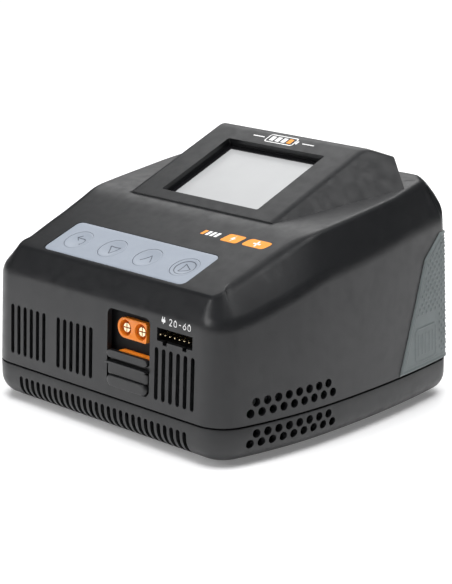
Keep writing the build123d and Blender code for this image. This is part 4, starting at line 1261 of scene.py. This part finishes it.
CAD_FINISHES = {
    "screen_border": gloss_black, "screen_face": screen_face, "bracket_plastic": matt_black,
    "circuit_board": solder_mask, "screw_steel": steel, "screw_black": black_steel,
    "switch_body": matt_black, "switch_plunger": satin_black, "contact_gold": gold,
    "header_plastic": matt_black, "fan_plastic": satin_black, "pin_steel": steel, "ferrite": ferrite,
    "winding_tape": tape, "capacitor_sleeve": sleeve, "copper_winding": copper,
    "sink_aluminium": aluminium, "chip_black": epoxy, "film_block": film, "fuse_glass": glass,
    "foot_rubber": foot_rubber, "shell_plastic": shell_finish, "tray_plastic": tray_finish,
    "grip_rubber": grip_finish, "keypad_silicone": silicone, "door_plastic": door_finish,
    "port_orange": port_orange, "inlet_plastic": satin_black,
}
dress(gold, pins)
slots = {row["node"]: row["material_slot"] for row in frame["record"]["subparts"]}
for node, obj in frame["nodes"].items():
    dress(CAD_FINISHES[slots[node]], obj)
print("finishes on", len(frame["nodes"]), "nodes")

# %% [markdown]
# ## Studio
#
# The floor is pale and glows a little, and a white wall stands round it at a distance, which only
# the camera sees. Five soft lights do the rest: two behind on the left and one behind on the right
# for the top faces, a large one overhead that is not mirrored, and a weak one in front.
# The surroundings stay dark, so the bevel between the slope and the walls reads as a dark band.

# %% Camera, floor and lights
VIEW_AZ, VIEW_EL, LENS_MM = 44.85, 15.47, 119.18219178
FLOOR_HALF, BACKDROP_R, BACKDROP_TOP, BACKDROP_STEPS = 4000.0, 2300.0, 3000.0, 96
camera_data = bpy.data.cameras.new("camera")
camera = bpy.data.objects.new("camera", camera_data)
bpy.context.scene.collection.objects.link(camera)
camera.location = np.array([526.64, -525.92 - MID_Y, 248.63]) * MM
az, el = math.radians(VIEW_AZ), math.radians(VIEW_EL)
look = Vector((-math.sin(az) * math.cos(el), math.cos(az) * math.cos(el), -math.sin(el)))
camera.rotation_euler = look.to_track_quat("-Z", "Y").to_euler()
camera_data.sensor_width = 36.0
camera_data.lens = LENS_MM
camera_data.clip_end = 20
bpy.context.scene.view_settings.view_transform = "Standard"
bpy.context.scene.camera = camera

floor_corners = FLOOR_HALF * np.array([(-1, -1, 0), (1, -1, 0), (1, 1, 0), (-1, 1, 0)])
floor = make_object("floor", floor_corners, [(0, 1, 2, 3)])
floor_finish = finish("pale_floor", (0.86, 0.86, 0.865), 0.6, 3.0, 0.002, 0.01, glow=0.2)
dress(floor_finish, floor)

wall_plan = circle(0, 0, BACKDROP_R, BACKDROP_STEPS)
wall_rows = [np.column_stack([wall_plan, np.full(BACKDROP_STEPS, z)]) for z in (0.5, BACKDROP_TOP)]
backdrop = make_object("backdrop", np.vstack(wall_rows), grid_faces(2, BACKDROP_STEPS, True))
backdrop.visible_diffuse = backdrop.visible_glossy = backdrop.visible_shadow = False
dress(finish("white_backdrop", (1.0, 1.0, 1.0), 0.9, 3.0, 0.002, 0.0, glow=1.0), backdrop)

world = bpy.data.worlds.new("studio")
bpy.context.scene.world = world
world.use_nodes = True
world.node_tree.nodes["Background"].inputs[0].default_value = (1, 1, 1, 1)
world.node_tree.nodes["Background"].inputs[1].default_value = 0.05


def soft_light(name, place, size, power):
    """Square area light of this size in metres and power in watts, aimed at the charger."""
    lamp = bpy.data.lights.new(name, "AREA")
    lamp.shape, lamp.size, lamp.energy = "SQUARE", size, power
    obj = bpy.data.objects.new(name, lamp)
    bpy.context.scene.collection.objects.link(obj)
    obj.location = place
    obj.rotation_euler = (Vector((0, 0, 0.05)) - Vector(place)).to_track_quat("-Z", "Y").to_euler()
    return obj


soft_light("rear_left_light", (-0.92, 0.98, 1.05), 1.0, 5.0)
soft_light("rear_high_light", (-0.35, 0.70, 1.15), 0.6, 1.6)
soft_light("top_right_light", (0.52, 0.42, 1.40), 0.55, 2.4)
soft_light("overhead_light", (0.2, -0.3, 2.6), 2.2, 98.0).visible_glossy = False
soft_light("front_light", (-0.6, -2.0, 1.2), 1.0, 14.0)
print("studio", sorted(light.name for light in bpy.data.lights))
